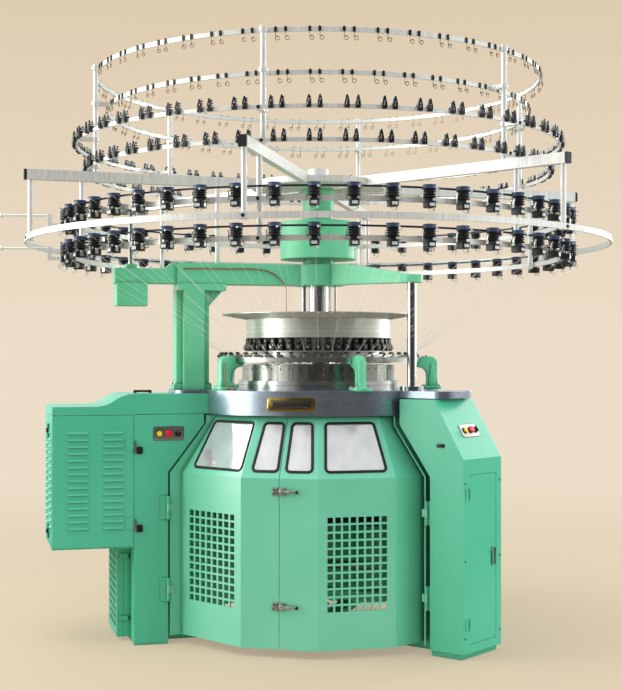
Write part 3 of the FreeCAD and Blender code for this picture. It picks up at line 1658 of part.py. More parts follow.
save("yarn_hooks", pairs(hook(top_ring)) + pairs(hook(second_ring)))
save("tension_units", pairs(tension_unit(third_ring)) + pairs(tension_unit(fourth_ring)))


def feeder(size):
    middle, radius, height = size
    outer = radius + ring_wall / 2
    x = feeder_place
    arm = box(outer - 3, x + 12, -14, 14, middle - 12, middle + 3)
    body = box(x - 30, x + 30, -22, 22, middle - 43, middle - 11)
    spindle = disc(8, middle - 12, middle + 68, x, 0)
    wheel = disc(feeder_wheel, middle + 6, middle + 46, x, 0)
    pulley = disc(feeder_pulley, middle + 49, middle + 64, x, 0)
    cap = disc(feeder_wheel, middle + 63.5, middle + 68, x, 0)
    whole = fused([arm, body, spindle, wheel, pulley, cap])
    return whole.cut(disc(outer, middle - 43, middle + 68))


feeders = []
for size in [upper_feeder_ring, lower_feeder_ring]:
    shape = feeder(size)
    feeders.extend([turned(shape, station_angle(index)) for index in range(stations)])
save("yarn_feeders", feeders)

belt_outer = feeder_place - feeder_pulley - clearance
pulley_track = feed_pulley_radius + clearance


def feeder_belt_face(inset, z):
    # the loop runs inside the feeder pulleys and turns in round the drive pulley
    loop = belt_outer - inset
    turn_radius = pulley_track + inset
    exit_turn = math.radians(feed_exit_angle) + inset / loop
    start = Vector(loop * math.cos(exit_turn), loop * math.sin(exit_turn), z)
    back = Vector(feed_pulley_place - start.x, -start.y, 0)
    length = math.sqrt(back.Length ** 2 - turn_radius ** 2)
    heading = math.atan2(back.y, back.x) - math.asin(turn_radius / back.Length)
    touch = start + Vector(math.cos(heading), math.sin(heading), 0) * length
    mirror_touch = Vector(touch.x, -touch.y, z)
    mirror_start = Vector(start.x, -start.y, z)
    return Part.Face(Part.Wire([
        Part.makeLine(start, touch),
        Part.Arc(touch, Vector(feed_pulley_place - turn_radius, 0, z), mirror_touch).toShape(),
        Part.makeLine(mirror_touch, mirror_start),
        Part.Arc(mirror_start, Vector(-loop, 0, z), start).toShape(),
    ]))


belts = []
levels = []
for size in [upper_feeder_ring, lower_feeder_ring]:
    z = size[0] + feeder_belt_rise
    levels.append(z)
    solid = feeder_belt_face(0.0, z).extrude(Vector(0, 0, feeder_belt_height))
    solid = solid.cut(feeder_belt_face(feeder_belt_thickness, z).extrude(Vector(0, 0, feeder_belt_height)))
    belts.append(turned(solid, left_leg_angle))
save("feeder_belts", belts)

feed_parts = [disc(feed_shaft_radius, gearbox_bottom + 40, levels[0] + 24, feed_pulley_place, 0)]
for z in levels:
    feed_parts.append(disc(feed_pulley_radius, z - 2, z + feeder_belt_height + 2, feed_pulley_place, 0))
    for low in [z - 2 - feed_flange_height, z + feeder_belt_height + 2]:
        feed_parts.append(disc(feed_pulley_radius + feed_flange, low, low + feed_flange_height,
                               feed_pulley_place, 0))
save("feeder_drive_shaft", [turned(fused(feed_parts), left_leg_angle)])

gearbox_half = gearbox_length / 2
gearbox = box(feed_pulley_place - gearbox_half, feed_pulley_place + gearbox_half, -gearbox_width / 2,
              gearbox_width / 2, gearbox_bottom, crown_bottom)
gearbox = gearbox.cut(disc(feed_shaft_radius + running_fit, gearbox_bottom + 40, crown_bottom,
                           feed_pulley_place, 0))
bearing_cup = ring(feed_shaft_radius + running_fit, 35, crown_tip_top, crown_tip_top + 26,
                   feed_pulley_place, 0)
idlers = []
for size in [upper_feeder_ring, lower_feeder_ring]:
    ring_top = size[0] + size[2] / 2
    belt_top = size[0] + feeder_belt_rise + feeder_belt_height
    for side in [-1, 1]:
        idler_place = belt_outer - feeder_belt_thickness - idler_radius - 3.0
        idler = disc(idler_radius, ring_top + 20, belt_top + 2, idler_place, 0)
        stem = disc(idler_stem, ring_top, belt_top, idler_place, 0)
        idlers.append(turned(fused([idler, stem]), left_leg_angle + side * (feed_exit_angle - 0.6)))
save("belt_gearbox", [turned(gearbox, left_leg_angle), turned(bearing_cup, left_leg_angle)] + idlers)

# ---------------------------------------------------------------- leads held along the frame

lead_radius = 4.0
lead_gap = 0.2


def lead(angle, points):
    return tube([place(x, y, angle, z) for x, y, z in points], lead_radius)


lead_beside_beam = beam_half + lead_radius + lead_gap
lead_beside_bracket = bracket_half_width + lead_radius + lead_gap
leads = [
    lead(left_leg_angle, [
        (800, lead_beside_beam, 2070),
        (560, lead_beside_beam, 2072),
        (330, lead_beside_beam, 2066),
        (225, lead_beside_beam + 6, 1990),
        (215, lead_beside_beam + 10, 1900),
        (214, lead_beside_beam + 10, drum_top + guide_plate_sheet + running_fit),
    ]),
    lead(bracket_first_angle, [
        (bracket_outer - 20, lead_beside_bracket, 1540),
        (bracket_outer - 18, lead_beside_bracket, 1500),
        (bracket_outer - 20, lead_beside_bracket + 2, 1450),
        (bracket_outer - 30, lead_beside_bracket + 22, 1410),
        (bracket_outer - 40, lead_beside_bracket + 52, bed_top + lead_radius + lead_gap),
    ]),
]
save("leads", leads)
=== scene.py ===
import math
import bmesh
import bpy
from mathutils import Matrix, Vector


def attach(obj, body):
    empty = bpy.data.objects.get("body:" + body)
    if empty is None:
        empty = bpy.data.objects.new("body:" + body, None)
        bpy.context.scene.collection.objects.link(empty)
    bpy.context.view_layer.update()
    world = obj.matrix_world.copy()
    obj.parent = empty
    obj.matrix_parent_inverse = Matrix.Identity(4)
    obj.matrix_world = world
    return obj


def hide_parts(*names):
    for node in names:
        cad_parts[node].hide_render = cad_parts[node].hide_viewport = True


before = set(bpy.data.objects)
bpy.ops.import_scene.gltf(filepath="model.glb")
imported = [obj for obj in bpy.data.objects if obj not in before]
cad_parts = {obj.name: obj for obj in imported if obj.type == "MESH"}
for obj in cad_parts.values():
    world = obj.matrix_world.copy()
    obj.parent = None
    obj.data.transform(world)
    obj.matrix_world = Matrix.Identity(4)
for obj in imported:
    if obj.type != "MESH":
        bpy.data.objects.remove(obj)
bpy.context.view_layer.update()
print("frame loaded:", len(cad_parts), "nodes")

# Shapes are written in millimetres, as in the drawing, and leave here in metres.
# Angles round the machine are counted from the front towards the right.
mm = 0.001
columnAngle = -60         # the column, the leg under it and the drive cabinet
cabinetAngle = 66.5       # the leg with the control cabinet
stations = {"count": 48, "first": 6.75}     # knitting stations round the machine, and the first one's angle
stationStep = 360 / stations["count"]


# directions and places at an angle round the machine
def outward(angle):
    turn = math.radians(angle)
    return Vector((math.sin(turn), -math.cos(turn), 0))


def sideways(angle):
    turn = math.radians(angle)
    return Vector((math.cos(turn), math.sin(turn), 0))


def spot(angle, radius, offset, height):
    return outward(angle) * radius + sideways(angle) * offset + Vector((0, 0, height))


def around(angle, radius=0.0, offset=0.0, height=0.0):
    # a piece drawn along +X, turned to its angle on the machine
    turn = Matrix.Rotation(math.radians(angle - 90), 4, "Z")
    return turn @ Matrix.Translation((radius, offset, height))


def seatedOn(origin, along, normal):
    # a piece drawn flat, its X laid along one direction and its Z along the normal
    across = normal.cross(along)
    matrix = Matrix.Identity(4)
    for column, axis in enumerate((along, across, normal, origin)):
        for row in range(3):
            matrix[row][column] = axis[row]
    return matrix


# a shape is its points, its faces and the finish number of each face
def joined(shapes):
    points, faces, tones = [], [], []
    for shapePoints, shapeFaces, shapeTones in shapes:
        start = len(points)
        points.extend(shapePoints)
        faces.extend([tuple(start + corner for corner in face) for face in shapeFaces])
        tones.extend(shapeTones)
    return points, faces, tones


def moved(shape, matrix):
    return [matrix @ point for point in shape[0]], shape[1], shape[2]


def shifted(shape, x, y, z):
    return moved(shape, Matrix.Translation((x, y, z)))


def repeated(shape, matrices):
    return joined([moved(shape, matrix) for matrix in matrices])


def lathe(profile, steps=20, tone=0, tones=None):
    # profile of (radius, height) turned about Z, closed by a flat face at each end
    points, faces, faceTones = [], [], []
    for radius, height in profile:
        for step in range(steps):
            turn = 2 * math.pi * step / steps
            points.append(Vector((radius * math.cos(turn), radius * math.sin(turn), height)))
    for row in range(len(profile) - 1):
        for step in range(steps):
            following = (step + 1) % steps
            low, high = row * steps, (row + 1) * steps
            faces.append((low + step, low + following, high + following, high + step))
            faceTones.append(tones[row] if tones else tone)
    last = (len(profile) - 1) * steps
    faces.append(tuple(range(steps))[::-1])
    faces.append(tuple(last + step for step in range(steps)))
    faceTones.extend([faceTones[0], faceTones[-1]])
    return points, faces, faceTones


def hoop(profile, steps, tone=0):
    # closed profile of (radius, height) turned about Z
    points, faces = [], []
    count = len(profile)
    for step in range(steps):
        turn = 2 * math.pi * step / steps
        for radius, height in profile:
            points.append(Vector((radius * math.cos(turn), radius * math.sin(turn), height)))
    for step in range(steps):
        here, there = step * count, (step + 1) % steps * count
        for side in range(count):
            following = (side + 1) % count
            faces.append((here + side, there + side, there + following, here + following))
    return points, faces, [tone] * len(faces)


def fromBmesh(mesh, tone):
    mesh.verts.index_update()
    points = [vertex.co.copy() for vertex in mesh.verts]
    faces = [tuple(vertex.index for vertex in face.verts) for face in mesh.faces]
    mesh.free()
    return points, faces, [tone] * len(faces)


def block(low, high, edge=0.0, tone=0, segments=1):
    # box between two corners, all its edges rounded by edge
    mesh = bmesh.new()
    bmesh.ops.create_cube(mesh, size=1.0)
    for vertex in mesh.verts:
        vertex.co = Vector([low[i] + (vertex.co[i] + 0.5) * (high[i] - low[i]) for i in range(3)])
    if edge:
        bmesh.ops.bevel(mesh, geom=mesh.edges[:], offset=edge, segments=segments, profile=0.5, affect="EDGES")
    return fromBmesh(mesh, tone)


def raisedOutline(outline, low, high):
    mesh = bmesh.new()
    face = mesh.faces.new([mesh.verts.new((x, y, low)) for x, y in outline])
    raised = bmesh.ops.extrude_face_region(mesh, geom=[face])
    for item in raised["geom"]:
        if isinstance(item, bmesh.types.BMVert):
            item.co.z = high
    bmesh.ops.recalc_face_normals(mesh, faces=mesh.faces[:])
    return mesh


def slab(outline, low, high, edge=0.0, tone=0, segments=2):
    # flat outline of (x, y) raised from low to high, its rims rounded by edge
    mesh = raisedOutline(outline, low, high)
    if edge:
        rims = [rim for rim in mesh.edges if abs(rim.verts[0].co.z - rim.verts[1].co.z) < 1e-6]
        bmesh.ops.bevel(mesh, geom=rims, offset=edge, segments=segments, profile=0.5, affect="EDGES")
    return fromBmesh(mesh, tone)


def roundedOutline(length, width, corner, steps=5):
    outline = []
    for cornerX, cornerY, start in [(1, 1, 0), (-1, 1, 90), (-1, -1, 180), (1, -1, 270)]:
        for step in range(steps + 1):
            turn = math.radians(start + 90 * step / steps)
            x = cornerX * (length / 2 - corner) + corner * math.cos(turn)
            y = cornerY * (width / 2 - corner) + corner * math.sin(turn)
            outline.append((x, y))
    return outline


def tubeAlong(path, radius, steps=6, tone=0, closed=False):
    # round wire that follows a path; the last section is carried along without twist
    path = [Vector(point) for point in path]
    count = len(path)
    points, faces = [], []
    side = None
    for index, point in enumerate(path):
        if closed:
            heading = path[(index + 1) % count] - path[index - 1]
        else:
            heading = path[min(index + 1, count - 1)] - path[max(index - 1, 0)]
        heading.normalize()
        if side is None:
            side = heading.orthogonal().normalized()
        side = (side - heading * side.dot(heading)).normalized()
        other = heading.cross(side)
        for step in range(steps):
            turn = 2 * math.pi * step / steps
            points.append(point + (side * math.cos(turn) + other * math.sin(turn)) * radius)
    for index in range(count if closed else count - 1):
        here, there = index * steps, (index + 1) % count * steps
        for step in range(steps):
            following = (step + 1) % steps
            faces.append((here + step, here + following, there + following, there + step))
    if not closed:
        last = (count - 1) * steps
        faces.append(tuple(range(steps))[::-1])
        faces.append(tuple(last + step for step in range(steps)))
    return points, faces, [tone] * len(faces)


def screwHead(radius, height, tone=0):
    # cap screw along +Z with a socket in its head
    profile = [(radius, 0), (radius, height * 0.8), (radius * 0.88, height), (radius * 0.5, height),
               (radius * 0.45, height * 0.45)]
    return lathe(profile, 12, tone)


def makePiece(name, shape, finishes, body, standsFor=(), smoothUnder=38.0):
    points, faces, tones = shape
    mesh = bpy.data.meshes.new(name)
    mesh.from_pydata([point * mm for point in points], [], faces)
    for finish in finishes:
        mesh.materials.append(finish)
    mesh.polygons.foreach_set("material_index", tones)
    mesh.shade_smooth()
    mesh.set_sharp_from_angle(angle=math.radians(smoothUnder))
    mesh.update()
    piece = bpy.data.objects.new(name, mesh)
    bpy.context.scene.collection.objects.link(piece)
    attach(piece, body)
    if standsFor:
        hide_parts(*standsFor)
    return piece


# sRGB hex colour turned to linear
def hexColour(text):
    channels = [int(text[start:start + 2], 16) / 255 for start in (1, 3, 5)]
    return [c / 12.92 if c <= 0.04045 else ((c + 0.055) / 1.055) ** 2.4 for c in channels] + [1.0]


def addNode(tree, kind, settings=None, links=None):
    node = tree.nodes.new("ShaderNode" + kind)
    for key, value in (settings or {}).items():
        if key in node.inputs:
            node.inputs[key].default_value = value
        else:
            setattr(node, key, value)
    for key, source in (links or {}).items():
        tree.links.new(source, node.inputs[key])
    return node


def startFinish(name):
    finish = bpy.data.materials.new(name)
    finish.use_nodes = True
    tree = finish.node_tree
    tree.nodes.clear()
    shader = addNode(tree, "BsdfPrincipled")
    addNode(tree, "OutputMaterial", links={"Surface": shader.outputs["BSDF"]})
    place = addNode(tree, "TexCoord").outputs["Object"]
    return finish, tree, shader, place


def blended(tree, amount, first, second):
    mix = addNode(tree, "Mix", {"data_type": "RGBA"})
    tree.links.new(amount, mix.inputs[0])
    for socket, value in ((mix.inputs[6], first), (mix.inputs[7], second)):
        if isinstance(value, str):
            socket.default_value = hexColour(value)
        else:
            tree.links.new(value, socket)
    return mix.outputs[2]


def spread(tree, value, low, high, fromLow=0.3, fromHigh=0.7):
    ends = {"From Min": fromLow, "From Max": fromHigh, "To Min": low, "To Max": high}
    return addNode(tree, "MapRange", ends, {"Value": value}).outputs["Result"]


def finishSurface(tree, shader, place, look):
    # shared by the finishes: roughness that wanders, a fine grain in the surface, and rounded edges
    wander = addNode(tree, "TexNoise", {"Scale": 1 / (look["smudge"] * mm), "Detail": 4.0}, {"Vector": place})
    tree.links.new(spread(tree, wander.outputs["Fac"], *look["roughness"]), shader.inputs["Roughness"])
    grain = addNode(tree, "TexNoise", {"Scale": 1 / (look["grain"] * mm), "Detail": 2.0}, {"Vector": place})
    edge = addNode(tree, "Bevel", {"samples": 4, "Radius": look["edge"] * mm})
    bump = addNode(tree, "Bump", {"Strength": look["grainDepth"], "Distance": look["grain"] * mm * 0.2},
                   {"Height": grain.outputs["Fac"], "Normal": edge.outputs["Normal"]})
    tree.links.new(bump.outputs["Normal"], shader.inputs["Normal"])
    return wander.outputs["Fac"]


def paintFinish(name, look):
    # coat over metal: an even colour with a slow drift, rubbed paler along its edges, and painted shade
    # darkening its inner corners
    finish, tree, shader, place = startFinish(name)
    wander = finishSurface(tree, shader, place, look)
    drift = addNode(tree, "TexNoise", {"Scale": 1 / (look["drift"] * mm), "Detail": 3.0}, {"Vector": place})
    coat = blended(tree, spread(tree, drift.outputs["Fac"], 0, 1), look["deep"], look["pale"])
    rub = addNode(tree, "Bevel", {"samples": 4, "Radius": look["edge"] * mm * 2})
    flat = addNode(tree, "NewGeometry")
    facing = addNode(tree, "VectorMath", {"operation": "DOT_PRODUCT"})
    tree.links.new(rub.outputs["Normal"], facing.inputs[0])
    tree.links.new(flat.outputs["Normal"], facing.inputs[1])
    turned = spread(tree, facing.outputs["Value"], 1, 0, 0.80, 0.985)      # 1 on an edge, 0 on a flat
    worn = addNode(tree, "Math", {"operation": "MULTIPLY"})
    tree.links.new(turned, worn.inputs[0])
    tree.links.new(spread(tree, wander, 0, look["wear"]), worn.inputs[1])
    rubbed = blended(tree, worn.outputs["Value"], coat, look["worn"])
    corner = addNode(tree, "AmbientOcclusion", {"samples": 6, "Distance": look["corner"] * mm})
    paintedShade = spread(tree, corner.outputs["AO"], 0.7, 0, 0.3, 0.9)    # painted shade that darkens the inner corners and recesses
    tree.links.new(blended(tree, paintedShade, rubbed, look["paintedShade"]), shader.inputs["Base Color"])
    shader.inputs["IOR"].default_value = look["ior"]
    shader.inputs["Coat Weight"].default_value = look["coat"]
    shader.inputs["Coat Roughness"].default_value = look["coatRoughness"]
    shader.inputs["Coat IOR"].default_value = look["coatIor"]
    return finish


def metalFinish(name, look):
    # bare or plated metal: brush is the pitch of its lines in millimetres, and lines the way they run
    finish, tree, shader, place = startFinish(name)
    finishSurface(tree, shader, place, look)
    if look["lines"] == "round":        # turned in a lathe: the lines run round the axis
        parts = addNode(tree, "SeparateXYZ", links={"Vector": place})
        flatPlace = addNode(tree, "CombineXYZ", links={"X": parts.outputs["X"], "Y": parts.outputs["Y"]})
        radius = addNode(tree, "VectorMath", {"operation": "LENGTH"}, {"Vector": flatPlace.outputs["Vector"]})
        lined = addNode(tree, "CombineXYZ", links={"X": radius.outputs["Value"], "Z": parts.outputs["Z"]})
        lined = lined.outputs["Vector"]
    else:                               # the lines run along the axis whose scale is smallest
        lined = addNode(tree, "Mapping", {"Scale": look["lines"]}, {"Vector": place}).outputs["Vector"]
    brush = addNode(tree, "TexNoise", {"Scale": 1 / (look["brush"] * mm), "Detail": 3.0}, {"Vector": lined})
    tint = blended(tree, spread(tree, brush.outputs["Fac"], 0, 1), look["deep"], look["pale"])
    if look.get("pieces"):              # ground one by one, so no two blocks match
        island = addNode(tree, "NewGeometry").outputs["Random Per Island"]
        tint = blended(tree, spread(tree, island, 0, look["pieces"], 0, 1), tint, look["odd"])
    tree.links.new(tint, shader.inputs["Base Color"])
    shader.inputs["Metallic"].default_value = look["metallic"]
    return finish


def plasticFinish(name, look):
    # moulded plastic or rubber: deep colour, faint grain
    finish, tree, shader, place = startFinish(name)
    wander = finishSurface(tree, shader, place, look)
    tree.links.new(blended(tree, spread(tree, wander, 0, 1), look["deep"], look["pale"]),
                   shader.inputs["Base Color"])
    shader.inputs["IOR"].default_value = look["ior"]
    return finish


# The grain of a coat, a moulding or a belt is under a millimetre, and turned or ground lines are finer still.
# All are drawn some millimetres wide, as coarse as they need to be to show at this distance.
# the last two entries are the reach and the colour of the painted shade in inner corners; some finishes below
# give their own colour
enamel = {"roughness": (0.34, 0.46), "smudge": 240, "grain": 5, "grainDepth": 0.10, "edge": 2.5,
          "drift": 900, "wear": 0.45, "ior": 1.5, "coat": 0.45, "coatRoughness": 0.28, "coatIor": 1.55,
          "corner": 26, "paintedShade": "#175C46"}

# powder-coated steel sheet: satin green with a faint orange peel and paler rubbed edges
greenSheet = paintFinish("powder_coated_steel_green",
                         dict(enamel, deep="#3DB38E", pale="#4CC09B", worn="#9FDCC0"))
# the same coat on the tub doors and rear guards, its colour painted paler as painted light, where the light
# falls flatter on them; glossier, it mirrors the room
doorSheetPaintedPaler = paintFinish("powder_coated_steel_doors_painted_paler",
                        dict(enamel, deep="#5CC29E", pale="#6CCDAC", worn="#B2E0C8", coat=1.0, coatIor=1.75))
# brushed-on enamel over rough castings: deeper grain
castGreen = paintFinish("enamelled_cast_iron_green",
                        dict(enamel, deep="#55C08F", pale="#68CC9E", worn="#A4DEC0", grain=9, grainDepth=0.35,
                             edge=5))
# enamelled motor castings: flat grey with a rough skin
greyIron = paintFinish("grey_enamelled_iron",
                       dict(enamel, deep="#7E888F", pale="#8E989F", worn="#B9C0C4", grain=8, grainDepth=0.3,
                            paintedShade="#353B40"))
# stove-enamelled plate: warm white, with thin crisp edges
cream = paintFinish("cream_enamelled_plate",
                    dict(enamel, deep="#E4E2CF", pale="#EFEDDD", worn="#F7F6EC", edge=0.5, paintedShade="#8A8671"))

bare = {"roughness": (0.20, 0.32), "smudge": 120, "grain": 3, "grainDepth": 0.05, "edge": 1.0,
        "metallic": 1.0, "brush": 3.0, "lines": "round", "deep": "#A4A6A4", "pale": "#E2E5E4"}
# turned steel: fine rings round the axis draw the light out sideways
turnedSteel = metalFinish("turned_steel", bare)
# ground blocks, each with its own tone
groundBlocks = metalFinish("ground_steel_blocks",
                           dict(bare, lines=(0.2, 0.2, 0.02), brush=4.0, pieces=0.75, odd="#6F7069",
                                deep="#B4B6AE", pale="#E6E8E0"))
# spun stainless plate: pale and hazy, with soft rings
spunSteel = metalFinish("spun_stainless_plate",
                        dict(bare, deep="#C9CCC0", pale="#F1F3EA", metallic=0.8, roughness=(0.32, 0.42)))
# ground and blued rim of the bed: cool steel, bright on one side and dark on the other
bluedSteel = metalFinish("ground_blued_steel_bed",
                         dict(bare, deep="#93A3B5", pale="#B6C3D1", roughness=(0.24, 0.34), edge=2.5,
                              metallic=0.9, lines=(0.15, 0.15, 3.0), brush=6.0))
# satin anodised aluminium: nearly white, soft highlights
satinAluminium = metalFinish("satin_anodised_aluminium",
                             dict(bare, metallic=0.35, lines=(1.0, 1.0, 0.05), brush=6.0, deep="#CFD2CF",
                                  pale="#ECEEEA", roughness=(0.32, 0.45), edge=1.5))
# chromium plate: a clear mirror
chromePlate = metalFinish("chromium_plated_steel",
                          dict(bare, deep="#C9CCCE", pale="#E6E9EA", roughness=(0.08, 0.16),
                               lines=(1, 1, 0.1)))
# zinc plate: bright but cloudy
zincPlate = metalFinish("zinc_plated_steel",
                        dict(bare, deep="#B9BBB6", pale="#DCDDD6", roughness=(0.28, 0.4), lines=(1, 1, 1),
                             brush=8.0, edge=0.6))
# polished brass: warm yellow mirror
brass = metalFinish("polished_brass",
                    dict(bare, deep="#B8923A", pale="#E3C36A", roughness=(0.16, 0.26), lines=(1, 1, 1),
                         edge=0.6))
# drawn spring wire: brown-grey from its heat treatment, dull
wireSteel = metalFinish("spring_steel_wire",
                        dict(bare, deep="#8C7960", pale="#B5A184", roughness=(0.3, 0.45), lines=(1, 1, 1),
                             edge=0.2))

moulded = {"roughness": (0.30, 0.46), "smudge": 60, "grain": 1.5, "grainDepth": 0.12, "edge": 0.8, "ior": 1.5,
           "deep": "#14161A", "pale": "#23272C"}
# moulded ABS: deep black with a satin skin
blackAbs = plasticFinish("moulded_black_abs", moulded)
# extruded or rolled rubber: matt black
blackRubber = plasticFinish("extruded_black_rubber",
                            dict(moulded, deep="#16191A", pale="#262B2B", roughness=(0.55, 0.7), grain=2))
# rubber belt on a woven core: matt blue-black with a coarse weave
beltRubber = plasticFinish("woven_rubber_belt",
                           dict(moulded, deep="#161B24", pale="#28313F", roughness=(0.5, 0.65), grain=3,
                                grainDepth=0.3))
# glazed ceramic: white and glassy
whiteCeramic = plasticFinish("glazed_white_ceramic",
                             dict(moulded, deep="#E4E4DE", pale="#F4F4EF", roughness=(0.1, 0.18), ior=1.6))
# moulded caps: clear strong colours with a soft gloss
yellowCap = plasticFinish("moulded_yellow_plastic",
                          dict(moulded, deep="#DEC512", pale="#F0DC2C", roughness=(0.25, 0.35)))
redCap = plasticFinish("moulded_red_plastic",
                       dict(moulded, deep="#C61F26", pale="#DE343A", roughness=(0.25, 0.35)))
# black plastic of the feeder pulleys, made a lighter blue as a painted highlight
pulleyPaintedSheen = plasticFinish("black_plastic_painted_blue_sheen", dict(moulded, deep="#2A3850", pale="#43577A"))
paleLabel = plasticFinish("moulded_grey_plastic", dict(moulded, deep="#A9B2B0", pale="#C7CECB"))
# extruded PVC round the leads: softer, duller colours
leadCover = dict(moulded, roughness=(0.4, 0.5))
redLead = plasticFinish("red_pvc_lead", dict(leadCover, deep="#9E3A34", pale="#B94C44"))
brownLead = plasticFinish("brown_pvc_lead", dict(leadCover, deep="#7E4526", pale="#9C5D38"))
yellowLead = plasticFinish("yellow_pvc_lead", dict(leadCover, deep="#C9B52B", pale="#E2D04B"))
# spun cotton: white and quite matt
cottonYarn = plasticFinish("spun_cotton_yarn",
                           dict(moulded, deep="#ECE9DF", pale="#FBF9F3", roughness=(0.8, 0.9)))


def glassFinish(name, look):
    # float glass: the shader mirrors the pale room, and its milky pale colour is a painted reflection of that
    # room, with faint streaks
    finish, tree, shader, place = startFinish(name)
    streaks = addNode(tree, "Mapping", {"Scale": look["stretch"]}, {"Vector": place})
    cloud = addNode(tree, "TexNoise", {"Scale": 1 / (look["streak"] * mm), "Detail": 4.0},
                    {"Vector": streaks.outputs["Vector"]})
    tree.links.new(blended(tree, spread(tree, cloud.outputs["Fac"], 0, 1), look["deep"], look["pale"]),
                   shader.inputs["Base Color"])
    tree.links.new(spread(tree, cloud.outputs["Fac"], *look["roughness"]), shader.inputs["Roughness"])
    shader.inputs["Transmission Weight"].default_value = look["clear"]
    shader.inputs["Metallic"].default_value = look["mirror"]
    shader.inputs["IOR"].default_value = look["ior"]
    return finish


windowGlass = glassFinish("float_glass_window",
                          {"deep": "#D9DEE6", "pale": "#F4F6F8", "streak": 110, "stretch": (1.0, 1.0, 0.35),
                           "roughness": (0.05, 0.12), "clear": 0.15, "mirror": 0.5, "ior": 1.52})


def partedFinish(name, main, trim, height=None, radius=None):
    # two finishes on one drawn piece: trim above a height or beyond a radius
    finish = main.copy()
    finish.name = name
    tree = finish.node_tree
    output = [node for node in tree.nodes if node.type == "OUTPUT_MATERIAL"][0]
    first = output.inputs["Surface"].links[0].from_socket
    place = addNode(tree, "TexCoord").outputs["Object"]
    parts = addNode(tree, "SeparateXYZ", links={"Vector": place})
    if height is not None:
        measure, limit = parts.outputs["Z"], height * mm
    else:
        flatPlace = addNode(tree, "CombineXYZ", links={"X": parts.outputs["X"], "Y": parts.outputs["Y"]})
        away = addNode(tree, "VectorMath", {"operation": "LENGTH"}, {"Vector": flatPlace.outputs["Vector"]})
        measure, limit = away.outputs["Value"], radius * mm
    beyond = addNode(tree, "Math", {"operation": "GREATER_THAN"})
    tree.links.new(measure, beyond.inputs[0])
    beyond.inputs[1].default_value = limit
    second = addNode(tree, "BsdfPrincipled", {"Base Color": hexColour(trim), "Roughness": 0.4})
    mix = addNode(tree, "MixShader")
    tree.links.new(beyond.outputs["Value"], mix.inputs[0])
    tree.links.new(first, mix.inputs[1])
    tree.links.new(second.outputs["BSDF"], mix.inputs[2])
    tree.links.new(mix.outputs["Shader"], output.inputs["Surface"])
    return finish


# the belt cover's bow handle, the arms' end caps and the gearbox's idlers are black, on the same drawn piece
coverGreen = partedFinish("powder_coated_cover", greenSheet, "#1B1E20", height=1377.5)
cappedArm = partedFinish("capped_square_tube", satinAluminium, "#24282B", radius=1661)
gearboxGreen = partedFinish("enamelled_gearbox_with_black_idlers", castGreen, "#20262B", radius=1300)

nodeFinishes = {
    "machine_legs": greenSheet, "control_cabinet": greenSheet, "rear_guards": doorSheetPaintedPaler,
    "front_door_left": doorSheetPaintedPaler, "front_door_right": doorSheetPaintedPaler, "door_hinge_brackets": greenSheet,
    "door_glass_left": windowGlass, "door_glass_right": windowGlass,
    "drive_cabinet": greenSheet, "drive_cover": coverGreen, "lower_guard": greenSheet,
    "louvre_door_front": greenSheet, "louvre_door_rear": greenSheet, "control_door": greenSheet,
    "bed_plate": bluedSteel, "gear_housing": bluedSteel, "motor": greyIron, "motor_pulley": greyIron,
    "drive_belt": beltRubber, "main_shaft": turnedSteel, "needle_cylinder": turnedSteel, "dial": turnedSteel,
    "base_ring": turnedSteel, "cam_sections": groundBlocks, "carrier_ring": turnedSteel,
    "yarn_guide_plate": spunSteel, "center_shaft": chromePlate,
    "support_rod": chromePlate, "column": castGreen, "crown_casting": castGreen, "hub_drum": castGreen,
    "frame_arms": cappedArm, "frame_posts": satinAluminium, "guide_rings": satinAluminium,
    "tension_rings": satinAluminium, "feeder_rings": satinAluminium, "feeder_belts": beltRubber,
    "belt_gearbox": gearboxGreen, "feeder_drive_shaft": zincPlate, "takedown_frame": castGreen,
    "takedown_roller_front": blackRubber, "takedown_roller_rear": blackRubber, "winding_shaft": zincPlate,
    "lock_handle": chromePlate,
}
for nodeName, finish in nodeFinishes.items():
    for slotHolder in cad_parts[nodeName].material_slots:
        slotHolder.material = finish
print("finishes set on", len(nodeFinishes), "drawn pieces")

# doors of the tub: rubber seals round the panes, latch plates and levers
tub = {"corner": 818, "topCorner": 650, "shoulder": 940, "height": 1255, "sides": 12}
pane = {"low": 974, "high": 1222, "round": 22, "sealHalf": 7.5, "sealRise": 5.5, "sealSink": 5.5,
        "edge": 14, "wideEdge": 52, "rightEdge": 32, "farEdge": 40}


def slopeApothem(height):
    share = (height - tub["shoulder"]) / (tub["height"] - tub["shoulder"])
    corner = tub["corner"] + (tub["topCorner"] - tub["corner"]) * share
    return corner * math.cos(math.pi / tub["sides"])


def halfFacet(height):
    return slopeApothem(height) * math.tan(math.pi / tub["sides"])


def paneCorners(angle, leftSide, rightSide):
    corners = []
    for side, height in ((leftSide, pane["low"]), (rightSide, pane["low"]),
                         (rightSide, pane["high"]), (leftSide, pane["high"])):
        corners.append(spot(angle, slopeApothem(height), side(height), height))
    return corners


def roundedLoop(corners, radius, steps=7):
    # the corners' outline with each corner turned by a radius
    loop = []
    count = len(corners)
    for index, corner in enumerate(corners):
        before = (corners[index - 1] - corner).normalized()
        after = (corners[(index + 1) % count] - corner).normalized()
        half = before.angle(after) / 2
        centre = corner + (before + after).normalized() * (radius / math.sin(half))
        start = corner + before * (radius / math.tan(half)) - centre
        end = corner + after * (radius / math.tan(half)) - centre
        for step in range(steps + 1):
            loop.append(centre + start.slerp(end, step / steps).normalized() * radius)
    return loop


